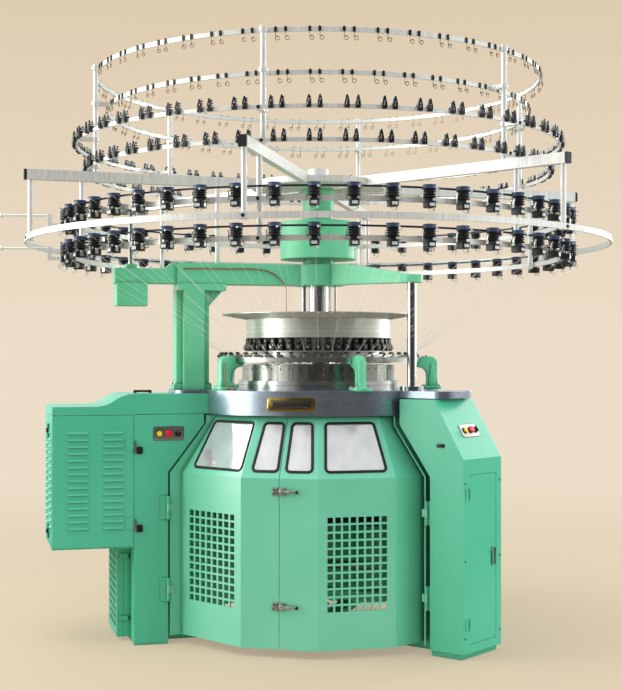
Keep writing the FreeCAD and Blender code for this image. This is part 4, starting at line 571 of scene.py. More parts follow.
def sealShape(loop, normal):
    half, rise, sink = pane["sealHalf"], pane["sealRise"], pane["sealSink"]
    profile = [(-half, -sink), (-half, rise * 0.45), (-half * 0.55, rise), (half * 0.55, rise),
               (half, rise * 0.45), (half, -0.5)]
    points, faces = [], []
    count, width = len(loop), len(profile)
    for index, point in enumerate(loop):
        heading = (loop[(index + 1) % count] - loop[index - 1]).normalized()
        aside = heading.cross(normal).normalized()
        for across, up in profile:
            points.append(point + aside * across + normal * up)
    for index in range(count):
        here, there = index * width, (index + 1) % count * width
        for side in range(width):
            following = (side + 1) % width
            faces.append((here + side, here + following, there + following, there + side))
    return points, faces, [0] * len(faces)


def fromLeft(distance):
    return lambda height: distance - halfFacet(height)


def fromRight(distance):
    return lambda height: halfFacet(height) - distance


def fromMiddle(distance):
    return lambda height: distance


# each pane's angle, and where its left and right side stand on that facet
panesOf = {
    "left": [(-30, fromLeft(pane["edge"]), fromRight(pane["edge"])),
             (0, fromLeft(pane["wideEdge"]), fromMiddle(-pane["edge"]))],
    "right": [(0, fromMiddle(pane["rightEdge"]), fromRight(pane["rightEdge"])),
              (30, fromLeft(pane["farEdge"]), fromRight(pane["farEdge"]))],
}
slopeTurn = math.atan2(slopeApothem(tub["shoulder"]) - slopeApothem(tub["height"]),
                       tub["height"] - tub["shoulder"])
for doorSide, panes in panesOf.items():
    seals = []
    for angle, leftSide, rightSide in panes:
        normal = outward(angle) * math.cos(slopeTurn) + Vector((0, 0, math.sin(slopeTurn)))
        seals.append(sealShape(roundedLoop(paneCorners(angle, leftSide, rightSide), pane["round"]), normal))
    makePiece("window_seals_" + doorSide, joined(seals), [blackRubber], "door_" + doorSide)
print("window seals done")

# swing latches on the seam: a keeper on the left door, a base with the lever on the right one
latch = {"heights": {"upper": 871, "lower": 270}, "pivot": 16, "reach": 84, "plate": 6, "half": 19,
         "seam": 2.2, "keeper": 39, "screwX": 29, "screwY": 11}
doorFace = -tub["corner"] * math.cos(math.pi / tub["sides"])


def onDoor(x, height, depth=0.0):
    # drawn flat with +Z out of the front facet, X to the right and Y up
    return Matrix.Translation((x, doorFace - depth, height)) @ Matrix.Rotation(math.radians(90), 4, "X")


def latchPlate(x0, x1):
    half = latch["half"] + 0.6
    outline = [(x + (x0 + x1) / 2, y) for x, y in roundedOutline(x1 - x0, 2 * half, 5)]
    return slab(outline, 0, latch["plate"] + 0.8, 1.2)


keeperShapes, baseShapes = [], []
for height in latch["heights"].values():
    keeperShapes.append(moved(latchPlate(-latch["keeper"], -latch["seam"]), onDoor(0, height)))
    baseShapes.append(moved(latchPlate(latch["seam"], latch["pivot"] + latch["half"]), onDoor(0, height)))
    for rise in (-latch["screwY"], latch["screwY"]):
        screwPlace = onDoor(-latch["screwX"], height + rise, latch["plate"] + 0.6)
        keeperShapes.append(moved(screwHead(4.5, 3.5, 1), screwPlace))
makePiece("latch_keepers", joined(keeperShapes), [zincPlate, blackAbs], "door_left")
makePiece("latch_bases", joined(baseShapes), [zincPlate], "door_right")


def latchLever():
    # knurled boss with a tapered lever and a dark grip at its end
    reach = latch["reach"]
    boss = [(12.6, 0), (13, 2), (13, 16), (11, 18.5), (6, 19.4)]
    knurl = [moved(block((-1.1, 11.9, 3), (1.1, 13.6, 15), 0.4), Matrix.Rotation(math.radians(turn), 4, "Z"))
             for turn in range(0, 360, 20)]
    bar = slab([(10, -8), (50, -8), (reach - 6, -6), (reach, -7), (reach, 7), (reach - 6, 6), (50, 8),
                (10, 8)], 8, 17, 1.6)
    crest = slab([(26, -3.2), (reach - 14, -2.4), (reach - 14, 2.4), (26, 3.2)], 16, 18.8, 1.2)
    tip = shifted(lathe([(7.6, 7.8), (8.6, 9), (8.6, 16), (7.4, 17.6)], 16, 1), reach, 0, 0)
    return joined([lathe(boss, 24), bar, crest, tip] + knurl)


for place, height in latch["heights"].items():
    lever = moved(latchLever(), onDoor(latch["pivot"], height, latch["plate"] + 0.9))
    makePiece("latch_lever_" + place, lever, [chromePlate, blackAbs], "latch_" + place,
              ("latch_lever_" + place,))
print("latches done")

# button panels: one on the left leg's side, one on the control cabinet's slanted top
panel = {"length": 165, "width": 72, "thick": 3, "spacing": 52, "round": 8, "screwInset": 9,
         "legRadius": 899, "legSide": 174, "legHeight": 1156}
slant = {"foot": 1110, "height": 1042, "run": 184, "rise": 308, "share": 0.46}
caps = {"start": (15, 18.4), "stop": (20, 23.8), "rim": 13.6, "stem": 9.5, "foot": 8.2}
leftPanel = seatedOn(spot(columnAngle, panel["legRadius"], panel["legSide"], panel["legHeight"]),
                     -outward(columnAngle), sideways(columnAngle))
slantLength = math.hypot(slant["run"], slant["rise"])
rightNormal = spot(cabinetAngle, slant["rise"] / slantLength, 0, slant["run"] / slantLength)
rightPanel = seatedOn(spot(cabinetAngle, slant["foot"] - slant["run"] * slant["share"], 0,
                           slant["height"] + slant["rise"] * slant["share"]),
                      sideways(cabinetAngle), rightNormal)


def panelPlate():
    # plate on a wider foot, with a screw in each corner and a collar round each control
    plate = slab(roundedOutline(panel["length"], panel["width"], panel["round"]), 0, panel["thick"], 0.8)
    rim = slab(roundedOutline(panel["length"] + 5, panel["width"] + 5, panel["round"] + 2), 0, 1.6, 0.5, 1)
    parts = [plate, rim]
    screwX, screwY = panel["length"] / 2 - panel["screwInset"], panel["width"] / 2 - panel["screwInset"]
    for x in (-screwX, screwX):
        for y in (-screwY, screwY):
            parts.append(shifted(screwHead(3.6, 2.4, 2), x, y, panel["thick"]))
    for x in (-panel["spacing"], 0, panel["spacing"]):
        collar = hoop([(11.4, 3), (17.5, 3), (17.5, 7), (16, 8.3), (13, 8.3), (11.4, 7.5)], 28, 1)
        parts.append(shifted(collar, x, 0, 0))
    return joined(parts)


for name, seat, face in (("button_panel_left", leftPanel, zincPlate),
                         ("button_panel_right", rightPanel, cream)):
    makePiece(name, moved(panelPlate(), seat), [face, blackAbs, chromePlate], "machine", ("control_plates",))


def pushCap(radius, high):
    # its stem stays in the collar, and its rim stops short of it when pushed
    stem, low = caps["stem"], caps["rim"]
    return lathe([(stem, caps["foot"]), (stem, low), (radius - 1, low), (radius, low + 1.5),
                  (radius, high - 2.5), (radius - 1.2, high - 0.8), (radius * 0.6, high),
                  (radius * 0.2, high)], 28)


def selectorCap():
    collar = lathe([(9.5, 3.2), (11.0, 3.6), (11.0, 8.6), (15.8, 9), (15.6, 11.6), (14, 12.8)], 28)
    grip = block((-4, -15, 9), (4, 15, 24.5), 1.5, segments=2)
    mark = block((-0.9, 6, 24), (0.9, 14, 24.9), 0.2, 1)
    return joined([collar, grip, mark])


for prefix, seat, bodies in (("", leftPanel, ("start", "stop", "selector")),
                             ("cabinet_", rightPanel, ("cabinet_start", "cabinet_stop", "cabinet_switch"))):
    startPlace, stopPlace, selectorPlace = (seat @ Matrix.Translation((x, 0, 0))
                                            for x in (-panel["spacing"], 0, panel["spacing"]))
    makePiece(prefix + "start_cap", moved(pushCap(*caps["start"]), startPlace), [yellowCap], bodies[0],
              (prefix + "start_button",))
    makePiece(prefix + "stop_cap", moved(pushCap(*caps["stop"]), stopPlace), [redCap], bodies[1],
              (prefix + "stop_button",))
    knobNode = "selector_knob" if prefix == "" else "cabinet_selector"
    makePiece(prefix + "selector_cap", moved(selectorCap(), selectorPlace), [blackAbs, whiteCeramic],
              bodies[2], (knobNode,))
print("button panels done")

# bare name plate on the drum: a bordered field inside a rim
namePlate = {"drum": 696, "angle": 2.8, "height": 1323.5, "length": 262, "width": 72}


def bentToDrum(shape):
    # flat plate wrapped on the drum: x runs round it, y up, z out of it
    bent = []
    for point in shape[0]:
        angle = namePlate["angle"] + math.degrees(point.x / namePlate["drum"])
        bent.append(spot(angle, namePlate["drum"] + point.z, 0, namePlate["height"] + point.y))
    return bent, shape[1], shape[2]


def wrappedStrip(length, width, corner, low, high, tone, columns=24):
    # rounded plate cut in upright columns so that it can bend
    mesh = raisedOutline(roundedOutline(length, width, corner), low, high)
    rims = [rim for rim in mesh.edges if min(vertex.co.z for vertex in rim.verts) > high - 1e-6]
    edge = min(1.0, (high - low) * 0.6)
    bmesh.ops.bevel(mesh, geom=rims, offset=edge, segments=2, profile=0.5, affect="EDGES")
    for column in range(1, columns):
        x = -length / 2 + length * column / columns
        bmesh.ops.bisect_plane(mesh, geom=mesh.verts[:] + mesh.edges[:] + mesh.faces[:],
                               plane_co=(x, 0, 0), plane_no=(1, 0, 0))
    return bentToDrum(fromBmesh(mesh, tone))


nameShapes = [
    wrappedStrip(namePlate["length"], namePlate["width"], 17, 0.1, 2.4, 0),
    wrappedStrip(namePlate["length"] - 40, namePlate["width"] - 28, 4, 1.0, 3.0, 1),
    wrappedStrip(namePlate["length"] - 54, namePlate["width"] - 42, 2, 1.2, 3.3, 0),
    wrappedStrip(namePlate["length"] - 57, namePlate["width"] - 45, 2, 1.2, 3.6, 1),
]
for x in (-namePlate["length"] / 2 + 10, namePlate["length"] / 2 - 10):
    nameShapes.append(bentToDrum(shifted(screwHead(3.4, 1.8, 1), x, 0, 2.2)))
makePiece("name_plate", joined(nameShapes), [brass, blackAbs], "machine", ("control_plates",))
print("name plate done")

# yarn feeders: one on each of two rings at every station
feederRing = {"radius": 1440, "upper": 2333, "lower": 2143}
stationAngles = [stations["first"] + stationStep * index for index in range(stations["count"])]
upright = Matrix.Rotation(math.radians(90), 4, "X")      # flat outlines of (x, height) stood on edge


def standing(outline, low, high, edge=0.0, tone=0):
    return moved(slab(outline, -high, -low, edge, tone), upright)


def feederShape():
    # origin at the wheel's axis and the ring's middle height, +X away from the machine
    black, steel, pale, blue, white = range(5)
    ribs = [(8, -12), (9, 3), (30, 5), (34, 7), (34, 11), (27, 13), (26, 18), (33, 20), (33, 23), (26, 25),
            (26, 30), (33, 32), (33, 35), (26, 37), (28, 42), (34, 44), (34, 46), (12, 48)]
    pulley = [(12, 47), (31, 49), (31, 63.4), (34, 64), (34, 66.6), (31, 68.4), (14, 68.4), (12, 71),
              (5, 71.4)]
    parts = [
        lathe(ribs, 18, black),
        # the pulley: black plastic with a painted bluish highlight
        lathe(pulley, 18, blue),
        slab(roundedOutline(62, 46, 9, 3), -43, -11, 2.2, black, 1),
        block((-24, -13, -12), (12, 13, 3), 1.5, black),
        block((-48.1, -17, -12.5), (-22, 17, 5), 1.5, steel),
        block((-62, -14, 13.6), (-34, 14, 19), 1.0, steel),
        block((-48, -14, 4), (-34, 14, 18), 1.0, steel),
        shifted(lathe([(5, 0), (5, 5), (3, 6)], 8, black), -40, 0, 18),
        block((30.4, -14, -37), (31.8, 14, -22), 0.5, pale),
        block((-9, 23, -36), (9, 27, -8), 1.2, steel),
        standing([(-9, -10), (9, -10), (7, 12), (12, 34), (4, 36), (-6, 14)], -40, -36, 1.0, steel),
        block((-9, 26, -12), (9, 40, -8), 1.0, steel),
        tubeAlong([(8, 38, 32), (20, 38, 42), (34, 34, 47), (42, 24, 46)], 1.4, 5, steel),
        moved(hoop([(2.6, -2), (5, -2), (5.6, 0), (5, 2), (2.6, 2)], 10, white),
              Matrix.Translation((44, 19, 45)) @ Matrix.Rotation(math.radians(60), 4, "Y")),
        tubeAlong([(16, -12, -42), (26, -14, -58), (38, -8, -66), (44, 4, -62), (36, 10, -54)], 1.4, 5,
                  steel),
        shifted(lathe([(5.5, 0), (5.5, 12), (3, 16)], 8, pale), 22, 14, -58),
    ]
    return joined(parts)


feederFinishes = [blackAbs, zincPlate, paleLabel, pulleyPaintedSheen, whiteCeramic]
feeder = feederShape()
for name in ("upper", "lower"):
    places = [around(angle, feederRing["radius"], 0, feederRing[name]) for angle in stationAngles]
    makePiece("yarn_feeders_" + name, repeated(feeder, places), feederFinishes, "machine", ("yarn_feeders",))

# straight yarns from each feeder down to its carrier, a third thicker than a common 0.8 mm so that they show
yarn = {"eye": (44, 4, -63), "carrierStep": 0.75, "guideRadius": 564, "guideHeight": 1606, "radius": 0.53,
        "columnGap": 6}
yarnShapes = []
for angle in stationAngles:
    if abs((angle - columnAngle + 180) % 360 - 180) < yarn["columnGap"]:
        continue                    # the column stands in that yarn's way
    for name in ("upper", "lower"):
        start = around(angle, feederRing["radius"], 0, feederRing[name]) @ Vector(yarn["eye"])
        end = spot(angle + yarn["carrierStep"], yarn["guideRadius"], 0, yarn["guideHeight"])
        yarnShapes.append(tubeAlong([start, start.lerp(end, 0.5), end], yarn["radius"], 4))
makePiece("yarns", joined(yarnShapes), [cottonYarn], "machine")
print("feeders and yarns done")

# tension units and yarn guides in pairs on the four top rings, each ring given by its height and radius
topRings = {"pairHalf": 1.1, "tension": ((2772, 1380), (2622, 1322)), "hooks": ((3165, 1269), (2970, 1206)),
            "hookHalves": (11.5, 11)}
pairAngles = [angle + side * topRings["pairHalf"] for angle in stationAngles for side in (-1, 1)]


def tensionShape():
    # black foot astride the ring, two spring-loaded discs on a pin and a bright fin
    black, steel, pale = range(3)
    discs = [(2.4, 0), (2.4, 8), (9, 8.6), (10, 10), (3, 11), (10, 12), (9, 13.4), (4, 14), (4, 20),
             (6, 20.6), (6, 25), (4, 27)]
    stand = [(-12, 19), (-6, 19), (0, 38), (6, 19), (12, 19), (3.6, 52), (-3.6, 52)]
    return joined([
        block((-10, -11.6, 10.05), (24, 11.6, 21), 1.5, black),
        block((5.05, -11.6, -10), (24, 11.6, 12), 1.5, black),
        moved(slab(stand, 0, 8, 1.0, black),
              seatedOn(Vector((14, 0, 0)), Vector((0, 1, 0)), Vector((1, 0, 0)))),
        shifted(lathe(discs, 10, steel, [steel] * 8 + [black] * 3), 2, 4.2, 20),
        standing([(-8, 20), (2, 20), (5, 48), (-1, 54), (-6, 46)], -7.2, -2.8, 0.5, pale),
        tubeAlong([(20, -4, 16), (27, -4, 14), (31, -4, 8), (29, -4, 2), (24, -4, 3), (25, -4, 9)], 1.3, 5,
                  steel),
    ])


def hookShape(half):
    # clip with a pigtail wire under it
    black, wire = range(2)
    curl = [(10, 0, 2 - half), (10, 0, -half - 20)]
    for step in range(15):
        turn = math.radians(180 - step * 34)
        curl.append((10 + step * 0.5, 10 + 10 * math.cos(turn), -half - 32 + 10 * math.sin(turn)))
    return joined([
        block((5.05, -7, -half), (12, 7, half + 2), 1.2, black),
        block((-8, -5, half + 0.2), (10, 5, half + 3), 0.8, black),
        shifted(lathe([(3, 0), (3, 3), (1.5, 4)], 8, wire), 9, 0, half + 2),
        tubeAlong(curl, 1.9, 5, wire),
    ])


tensionPlaces = [around(angle, radius, 0, middle)
                 for middle, radius in topRings["tension"] for angle in pairAngles]
makePiece("tension_discs", repeated(tensionShape(), tensionPlaces), [blackAbs, zincPlate, paleLabel],
          "machine", ("tension_units",))
hookShapes = []
for (middle, radius), half in zip(topRings["hooks"], topRings["hookHalves"]):
    hookShapes.append(repeated(hookShape(half), [around(angle, radius, 0, middle) for angle in pairAngles]))
makePiece("yarn_guides", joined(hookShapes), [blackAbs, wireSteel], "machine", ("yarn_hooks",))
print("tension units and guides done")

# knitting head: yarn carriers, dial cam blocks, screws
carrierRing = {"outer": 585, "low": 1547, "high": 1573, "gap": 0.2}
dialDrum = {"bore": 60, "lower": 380, "upper": 419, "low": 1602, "step": 1684, "top": 1793}
camBlock = {"inside": 379, "face": 428, "low": 1612, "middle": 1650, "upperFace": 420, "high": 1683}
camScrew = {"radius": 430, "offset": 12, "height": 1509}
blockAngles = [stationStep * index for index in range(stations["count"])]


def carrierShape():
    # steel foot on the ring, finger down to the needles, post with a ceramic guide
    steel, black, white = range(3)
    seat = carrierRing["high"] + carrierRing["gap"]
    finger = [(548, seat), (583, seat), (583, 1590), (572, 1596), (552, 1594), (470, 1572), (404, 1549),
              (399, 1546), (399, 1541.5), (410, 1541.8), (541, seat)]
    return joined([
        standing(finger, -6.5, 6.5, 1.2, steel),
        block((561, -3.5, 1586), (568, 3.5, 1602), 0.8, steel),
        block((556, -9, 1590), (573, 9, 1604), 2.0, black),
        moved(screwHead(4, 3, black), seatedOn(Vector((583, 0, 1583)), Vector((0, 1, 0)), Vector((1, 0, 0)))),
        moved(hoop([(2.4, -3), (4.6, -3), (5, 0), (4.6, 3), (2.4, 3)], 10, white),
              Matrix.Translation((551, 0, 1598)) @ Matrix.Rotation(math.radians(90), 4, "Y")),
        tubeAlong([(552, 0, 1598), (557, 0, 1598)], 2.0, 6, steel),
    ])


def dialCamShape():
    # black cam block on the lower drum, with its adjusting stud and three screws
    black, steel = 1, 2
    inside, face, upperFace = camBlock["inside"], camBlock["face"], camBlock["upperFace"]
    outwards = Matrix.Rotation(math.radians(90), 4, "Y")
    parts = [
        block((inside, -17, camBlock["low"]), (face, 17, camBlock["middle"]), 2.5, black),
        block((inside, -13, camBlock["middle"]), (upperFace, 13, camBlock["high"]), 2.5, black),
        shifted(moved(lathe([(6.5, 0), (6.5, 7), (4.5, 9)], 10, steel), outwards), face, 0, 1631),
    ]
    for offset in (-11, 11):
        parts.append(shifted(moved(screwHead(3, 2.5, steel), outwards), face, offset, 1642))
    parts.append(shifted(moved(screwHead(4, 3, steel), outwards), upperFace, 0, 1666))
    return joined(parts)


def dialDrumShape():
    # the narrow lower drum and the wide upper one, with a groove round it
    bore, lower, upper = dialDrum["bore"], dialDrum["lower"], dialDrum["upper"]
    low, step, top = dialDrum["low"], dialDrum["step"], dialDrum["top"]
    profile = [(bore, low), (lower, low), (lower, step), (upper - 2, step), (upper, step + 2),
               (upper, step + 16), (upper - 1.5, step + 17), (upper - 1.5, step + 19), (upper, step + 20),
               (upper, top - 2), (upper - 2, top), (bore, top)]
    return hoop(profile, 144)


makePiece("needle_carriers", repeated(carrierShape(), [around(angle) for angle in blockAngles]),
          [zincPlate, blackAbs, whiteCeramic], "machine", ("yarn_carriers",))
drumBlocks = repeated(dialCamShape(), [around(angle) for angle in blockAngles])
makePiece("dial_cam_drum_dressed", joined([dialDrumShape(), drumBlocks]), [spunSteel, blackAbs, zincPlate],
          "machine", ("dial_cam_drum",))


def facing(angle, radius, offset, height):
    # seat on an upright face, +Z out of it and X to the right
    return seatedOn(spot(angle, radius, offset, height), sideways(angle), outward(angle))


screwPlaces = [facing(angle, camScrew["radius"], camScrew["offset"], camScrew["height"])
               for angle in blockAngles]
makePiece("cam_screws", repeated(screwHead(4.7, 7), screwPlaces), [blackAbs], "machine")
print("knitting head done")

# goose-neck brackets that hold the carrier ring over the bed
gooseNecks = {"count": 5, "first": -37, "foot": 1393.1, "footTop": 1411, "half": 21}


def gooseNeck():
    foot, footTop, half = gooseNecks["foot"], gooseNecks["footTop"], gooseNecks["half"]
    rim = carrierRing["outer"] + 0.4
    over = carrierRing["high"] + carrierRing["gap"]
    under = carrierRing["low"] - carrierRing["gap"]
    outline = [(622, 1408), (604, 1400), (604, foot), (712, foot), (712, 1404), (697, 1420), (690, 1450),
               (690, 1540), (686, 1560), (674, 1574), (654, 1582), (600, 1583), (596, over), (rim, over),
               (rim, under), (551, under), (551, 1530), (560, 1521), (600, 1514), (618, 1502), (626, 1486),
               (628, 1440)]
    rib = [(640, 1405), (676, 1405), (676, 1450), (664, 1540), (652, 1540), (640, 1450)]
    base = [(x + 656, y) for x, y in roundedOutline(112, 100, 14)]
    parts = [standing(outline, -half, half, 5.0), slab(base, foot, footTop, 3.0),
             standing(rib, -half - 6, half + 6, 4.0)]
    for x, y in ((612, 36), (612, -36), (700, 36), (700, -36)):
        parts.append(shifted(screwHead(7, 6, 1), x, y, footTop))
    parts.append(shifted(screwHead(8, 7, 1), 628, 0, 1582.6))
    return joined(parts)


bracketStep = 360 / gooseNecks["count"]
bracketAngles = [gooseNecks["first"] + bracketStep * index for index in range(gooseNecks["count"])]
makePiece("ring_goose_necks", repeated(gooseNeck(), [around(angle) for angle in bracketAngles]),
          [castGreen, zincPlate], "machine", ("ring_brackets",))
print("brackets done")


# leads: strands held on the beam and down the first bracket
def eased(points, steps=6):
    # smooth curve through the points
    path = []
    points = [Vector(point) for point in points]
    for index in range(len(points) - 1):
        before = points[max(index - 1, 0)]
        start, end = points[index], points[index + 1]
        after = points[min(index + 2, len(points) - 1)]
        for step in range(steps):
            t = step / steps
            square = 2 * before - 5 * start + 4 * end - after
            cube = 3 * start - before - 3 * end + after
            path.append(0.5 * (2 * start + (end - before) * t + square * t * t + cube * t ** 3))
    path.append(points[-1])
    return path


def strands(route, offsets, radius):
    # several wires lie side by side along one route, wandering a little round each other
    shapes = []
    path = eased(route)
    for index, (aside, up, tone) in enumerate(offsets):
        wire = []
        for step, point in enumerate(path):
            sway = math.sin(step * 0.45 + index * 2.1) * 0.5
            wire.append(point + Vector((aside * 0.3, aside + sway, up - sway)))
        shapes.append(tubeAlong(wire, radius, 6, tone))
    return joined(shapes)


# routes as in the drawing; each wire is given by its place aside and up, and its finish
beamRoute = [(800, 87, 2070), (560, 87, 2072), (330, 87, 2066), (225, 93, 1990), (215, 97, 1900),
             (214, 97, 1800)]
bracketRoute = [(670, 31, 1540), (672, 31, 1500), (670, 33, 1450), (660, 53, 1410), (650, 83, 1399)]
wires = {"beam": [(0, 1.8, 0), (0.6, -1.8, 1)], "bracket": [(0, 2.2, 0), (1.2, -1.8, 1), (3.6, 0.6, 2)],
         "beamRadius": 1.7, "bracketRadius": 1.9}
beamStrands = strands(beamRoute, wires["beam"], wires["beamRadius"])
makePiece("beam_leads", moved(beamStrands, around(columnAngle)), [redLead, brownLead], "machine", ("leads",))
bracketStrands = strands(bracketRoute, wires["bracket"], wires["bracketRadius"])
makePiece("bracket_leads", moved(bracketStrands, around(gooseNecks["first"])),
          [redLead, yellowLead, brownLead], "machine", ("leads",))
print("leads done")

# small fittings: bolts at the column's foot, on the crown over it, round the hub and at the beam's outer end
castingBolts = {
    "foot": {"along": (648, 842), "aside": (-78, 46), "height": 1423, "head": (9, 8)},
    "crown": {"along": (690, 790), "aside": (-55, 55), "height": 2105, "head": (9, 8)},
    "beamEnd": {"along": (1020, 1150), "aside": (-40, 40), "height": 2070, "head": (8, 7)},
}
hubBolts = {"count": 6, "first": 30, "radius": 120, "height": 2105, "head": (7, 6)}
bolts = []
for pattern in castingBolts.values():
    for x in pattern["along"]:
        for y in pattern["aside"]:
            bolts.append(moved(screwHead(*pattern["head"]), around(columnAngle, x, y, pattern["height"])))
for index in range(hubBolts["count"]):
    angle = hubBolts["first"] + 360 / hubBolts["count"] * index
    hubPlace = around(angle, hubBolts["radius"], 0, hubBolts["height"])
    bolts.append(moved(screwHead(*hubBolts["head"]), hubPlace))
makePiece("casting_bolts", joined(bolts), [zincPlate], "machine")

# clamp knobs outside the rings at each of the six arms, with screws on top of the arm and on the hub's plate
clamps = {"count": 6, "first": 3, "half": 4.8, "feederRing": 1387, "postFace": 1664.8, "postHeight": 2224,
          "armTop": 2593, "armRadius": 1288, "hubTop": 2581, "hubRadius": 300}
ringPlaces = [(feederRing["upper"], clamps["feederRing"]), (feederRing["lower"], clamps["feederRing"])]
ringPlaces.extend(topRings["hooks"] + topRings["tension"])
knob = lathe([(9, 0), (9, 4), (8, 5.5), (4, 6), (3, 4.5)], 16)
knobs = []
for index in range(clamps["count"]):
    angle = clamps["first"] + 360 / clamps["count"] * index
    knobs.append(moved(knob, facing(angle, clamps["postFace"], 0, clamps["postHeight"])))
    for middle, radius in ringPlaces:
        knobs.append(moved(knob, facing(angle, radius + clamps["half"], 0, middle)))
    for offset in (-9, 9):
        armPlace = around(angle, clamps["armRadius"] + offset * 3, 0, clamps["armTop"])
        hubPlace = around(angle, clamps["hubRadius"] + offset * 4, offset * 4.6, clamps["hubTop"])
        knobs.append(moved(screwHead(4, 3), armPlace))
        knobs.append(moved(screwHead(6, 5), hubPlace))
makePiece("clamp_knobs", joined(knobs), [blackAbs], "machine")

# screws round the control cabinet's door and a cable clip on its inner side
cabinet = {"outer": 1110, "half": 188, "screwSide": 171, "screwHeights": (917, 513, 112), "clipRadius": 969,
           "clipHeight": 1111}
fittings = []
for offset in (-cabinet["screwSide"], cabinet["screwSide"]):
    for height in cabinet["screwHeights"]:
        fittings.append(moved(screwHead(5, 3), facing(cabinetAngle, cabinet["outer"], offset, height)))
innerSide = seatedOn(spot(cabinetAngle, cabinet["clipRadius"], -cabinet["half"], cabinet["clipHeight"]),
                     outward(cabinetAngle), -sideways(cabinetAngle))
clip = joined([slab(roundedOutline(50, 20, 5), 0, 3, 0.8), slab(roundedOutline(26, 12, 5), 3, 12, 2.0)])
fittings.append(moved(clip, innerSide))
makePiece("cabinet_fittings", joined(fittings), [blackAbs], "machine")

louvreHinge = {"radius": 1537, "offset": -87, "heights": (1169, 610)}
sleeve = hoop([(8.15, -12), (8.9, -11.4), (8.9, 11.4), (8.15, 12)], 24)
sleeves = [moved(sleeve, around(columnAngle, louvreHinge["radius"], louvreHinge["offset"], height))
           for height in louvreHinge["heights"]]
makePiece("louvre_hinge_sleeves", joined(sleeves), [blackAbs], "louvre_front")

# rubber draw latches that hold the louvred door to the leg, and the guard's spring clips
drawLatch = {"radius": 1083, "offset": 174, "heights": (1096, 669), "stud": 7.5}
guardClip = {"heights": (113, 458), "low": (1094, 15.2, 2), "high": (1102, 25, 20)}
latchShapes = []
for height in drawLatch["heights"]:
    seat = seatedOn(spot(columnAngle, drawLatch["radius"], drawLatch["offset"], height - 14),
                    -outward(columnAngle), sideways(columnAngle))
    latchShapes.append(moved(slab(roundedOutline(13, 68, 5), 0, 11, 3.0, 1), seat))     # zinc-plated strap
    stud = drawLatch["stud"]
    studShape = lathe([(stud, 6), (stud, 12), (stud - 1.5, 13.5), (stud - 4, 13.5), (stud - 4.5, 10)], 14)
    rubber = [slab([(x + 25, y - 16) for x, y in roundedOutline(32, 40, 7)], 0, 7, 1.5)]
    rubber.extend([shifted(studShape, x, y, 0) for x in (17, 33) for y in (-25, -7)])
    latchShapes.append(moved(joined(rubber), seat))
for height in guardClip["heights"]:
    rise = Vector((0, 0, height))
    clipEnd = block(Vector(guardClip["low"]) + rise, Vector(guardClip["high"]) + rise, 2.0)
    latchShapes.append(moved(clipEnd, around(columnAngle)))
makePiece("draw_latches", joined(latchShapes), [blackRubber, zincPlate], "machine")
print("fittings done")

# stage, camera and lights
backdrop = {"near": "#BFAF93", "lit": "#E2D2B7", "far": "#ECDDC8", "top": "#DCC9AC", "topFrom": (0.02, 0.30),
            "light": "#FBFBFF", "screens": "#FDFCF8"}
# the stage is in metres: how far out the floor turns pale, and where its own glow takes over from the lamps
studioFloor = {"radius": 26.0, "roughness": 0.9, "pale": (1.5, 9.0), "glowPale": (2.5, 9.0),
               "glowShare": (0.5, 1), "glowFrom": (1.6, 4.4), "glossyGlow": 0.15}
floorMesh = bpy.data.meshes.new("studio_floor")
disc = bmesh.new()
bmesh.ops.create_circle(disc, cap_ends=True, segments=96, radius=studioFloor["radius"])
disc.to_mesh(floorMesh)
disc.free()
floor = bpy.data.objects.new("studio_floor", floorMesh)
bpy.context.scene.collection.objects.link(floor)
floorLook, tree, shader, place = startFinish("pale_studio_floor")
distance = addNode(tree, "VectorMath", {"operation": "LENGTH"}, {"Vector": place}).outputs["Value"]
ground = blended(tree, spread(tree, distance, 0, 1, *studioFloor["pale"]), backdrop["near"], backdrop["far"])
glowShade = spread(tree, distance, 0, 1, *studioFloor["glowPale"])
glowColour = blended(tree, glowShade, backdrop["lit"], backdrop["far"])
tree.links.new(ground, shader.inputs["Base Color"])
shader.inputs["Roughness"].default_value = studioFloor["roughness"]
# shiny metal sees the far floor as a dark room
ray = addNode(tree, "LightPath")
glowStrength = spread(tree, ray.outputs["Is Glossy Ray"], 1.0, studioFloor["glossyGlow"], 0, 1)
glow = addNode(tree, "Emission", links={"Color": glowColour, "Strength": glowStrength})
fade = addNode(tree, "MixShader")
tree.links.new(spread(tree, distance, *studioFloor["glowShare"], *studioFloor["glowFrom"]), fade.inputs[0])
tree.links.new(shader.outputs["BSDF"], fade.inputs[1])
tree.links.new(glow.outputs["Emission"], fade.inputs[2])
output = [node for node in tree.nodes if node.type == "OUTPUT_MATERIAL"][0]
tree.links.new(fade.outputs["Shader"], output.inputs["Surface"])
floorMesh.materials.append(floorLook)

world = bpy.data.worlds.new("pale_room")
bpy.context.scene.world = world
world.use_nodes = True
tree = world.node_tree
tree.nodes.clear()
direction = addNode(tree, "TexCoord").outputs["Generated"]


def glowFrom(angle, rise, fromLow, fromHigh, low, high):
    # brightness of the room that grows towards one direction
    aim = outward(angle) * math.cos(math.radians(rise)) + Vector((0, 0, math.sin(math.radians(rise))))
    towards = addNode(tree, "VectorMath", {"operation": "DOT_PRODUCT"})
    tree.links.new(direction, towards.inputs[0])
    towards.inputs[1].default_value = aim
    return spread(tree, towards.outputs["Value"], low, high, fromLow, fromHigh)


def summed(values):
    total = values[0]
    for value in values[1:]:
        add = addNode(tree, "Math", {"operation": "ADD"})
        tree.links.new(total, add.inputs[0])
        tree.links.new(value, add.inputs[1])
        total = add.outputs["Value"]
    return total


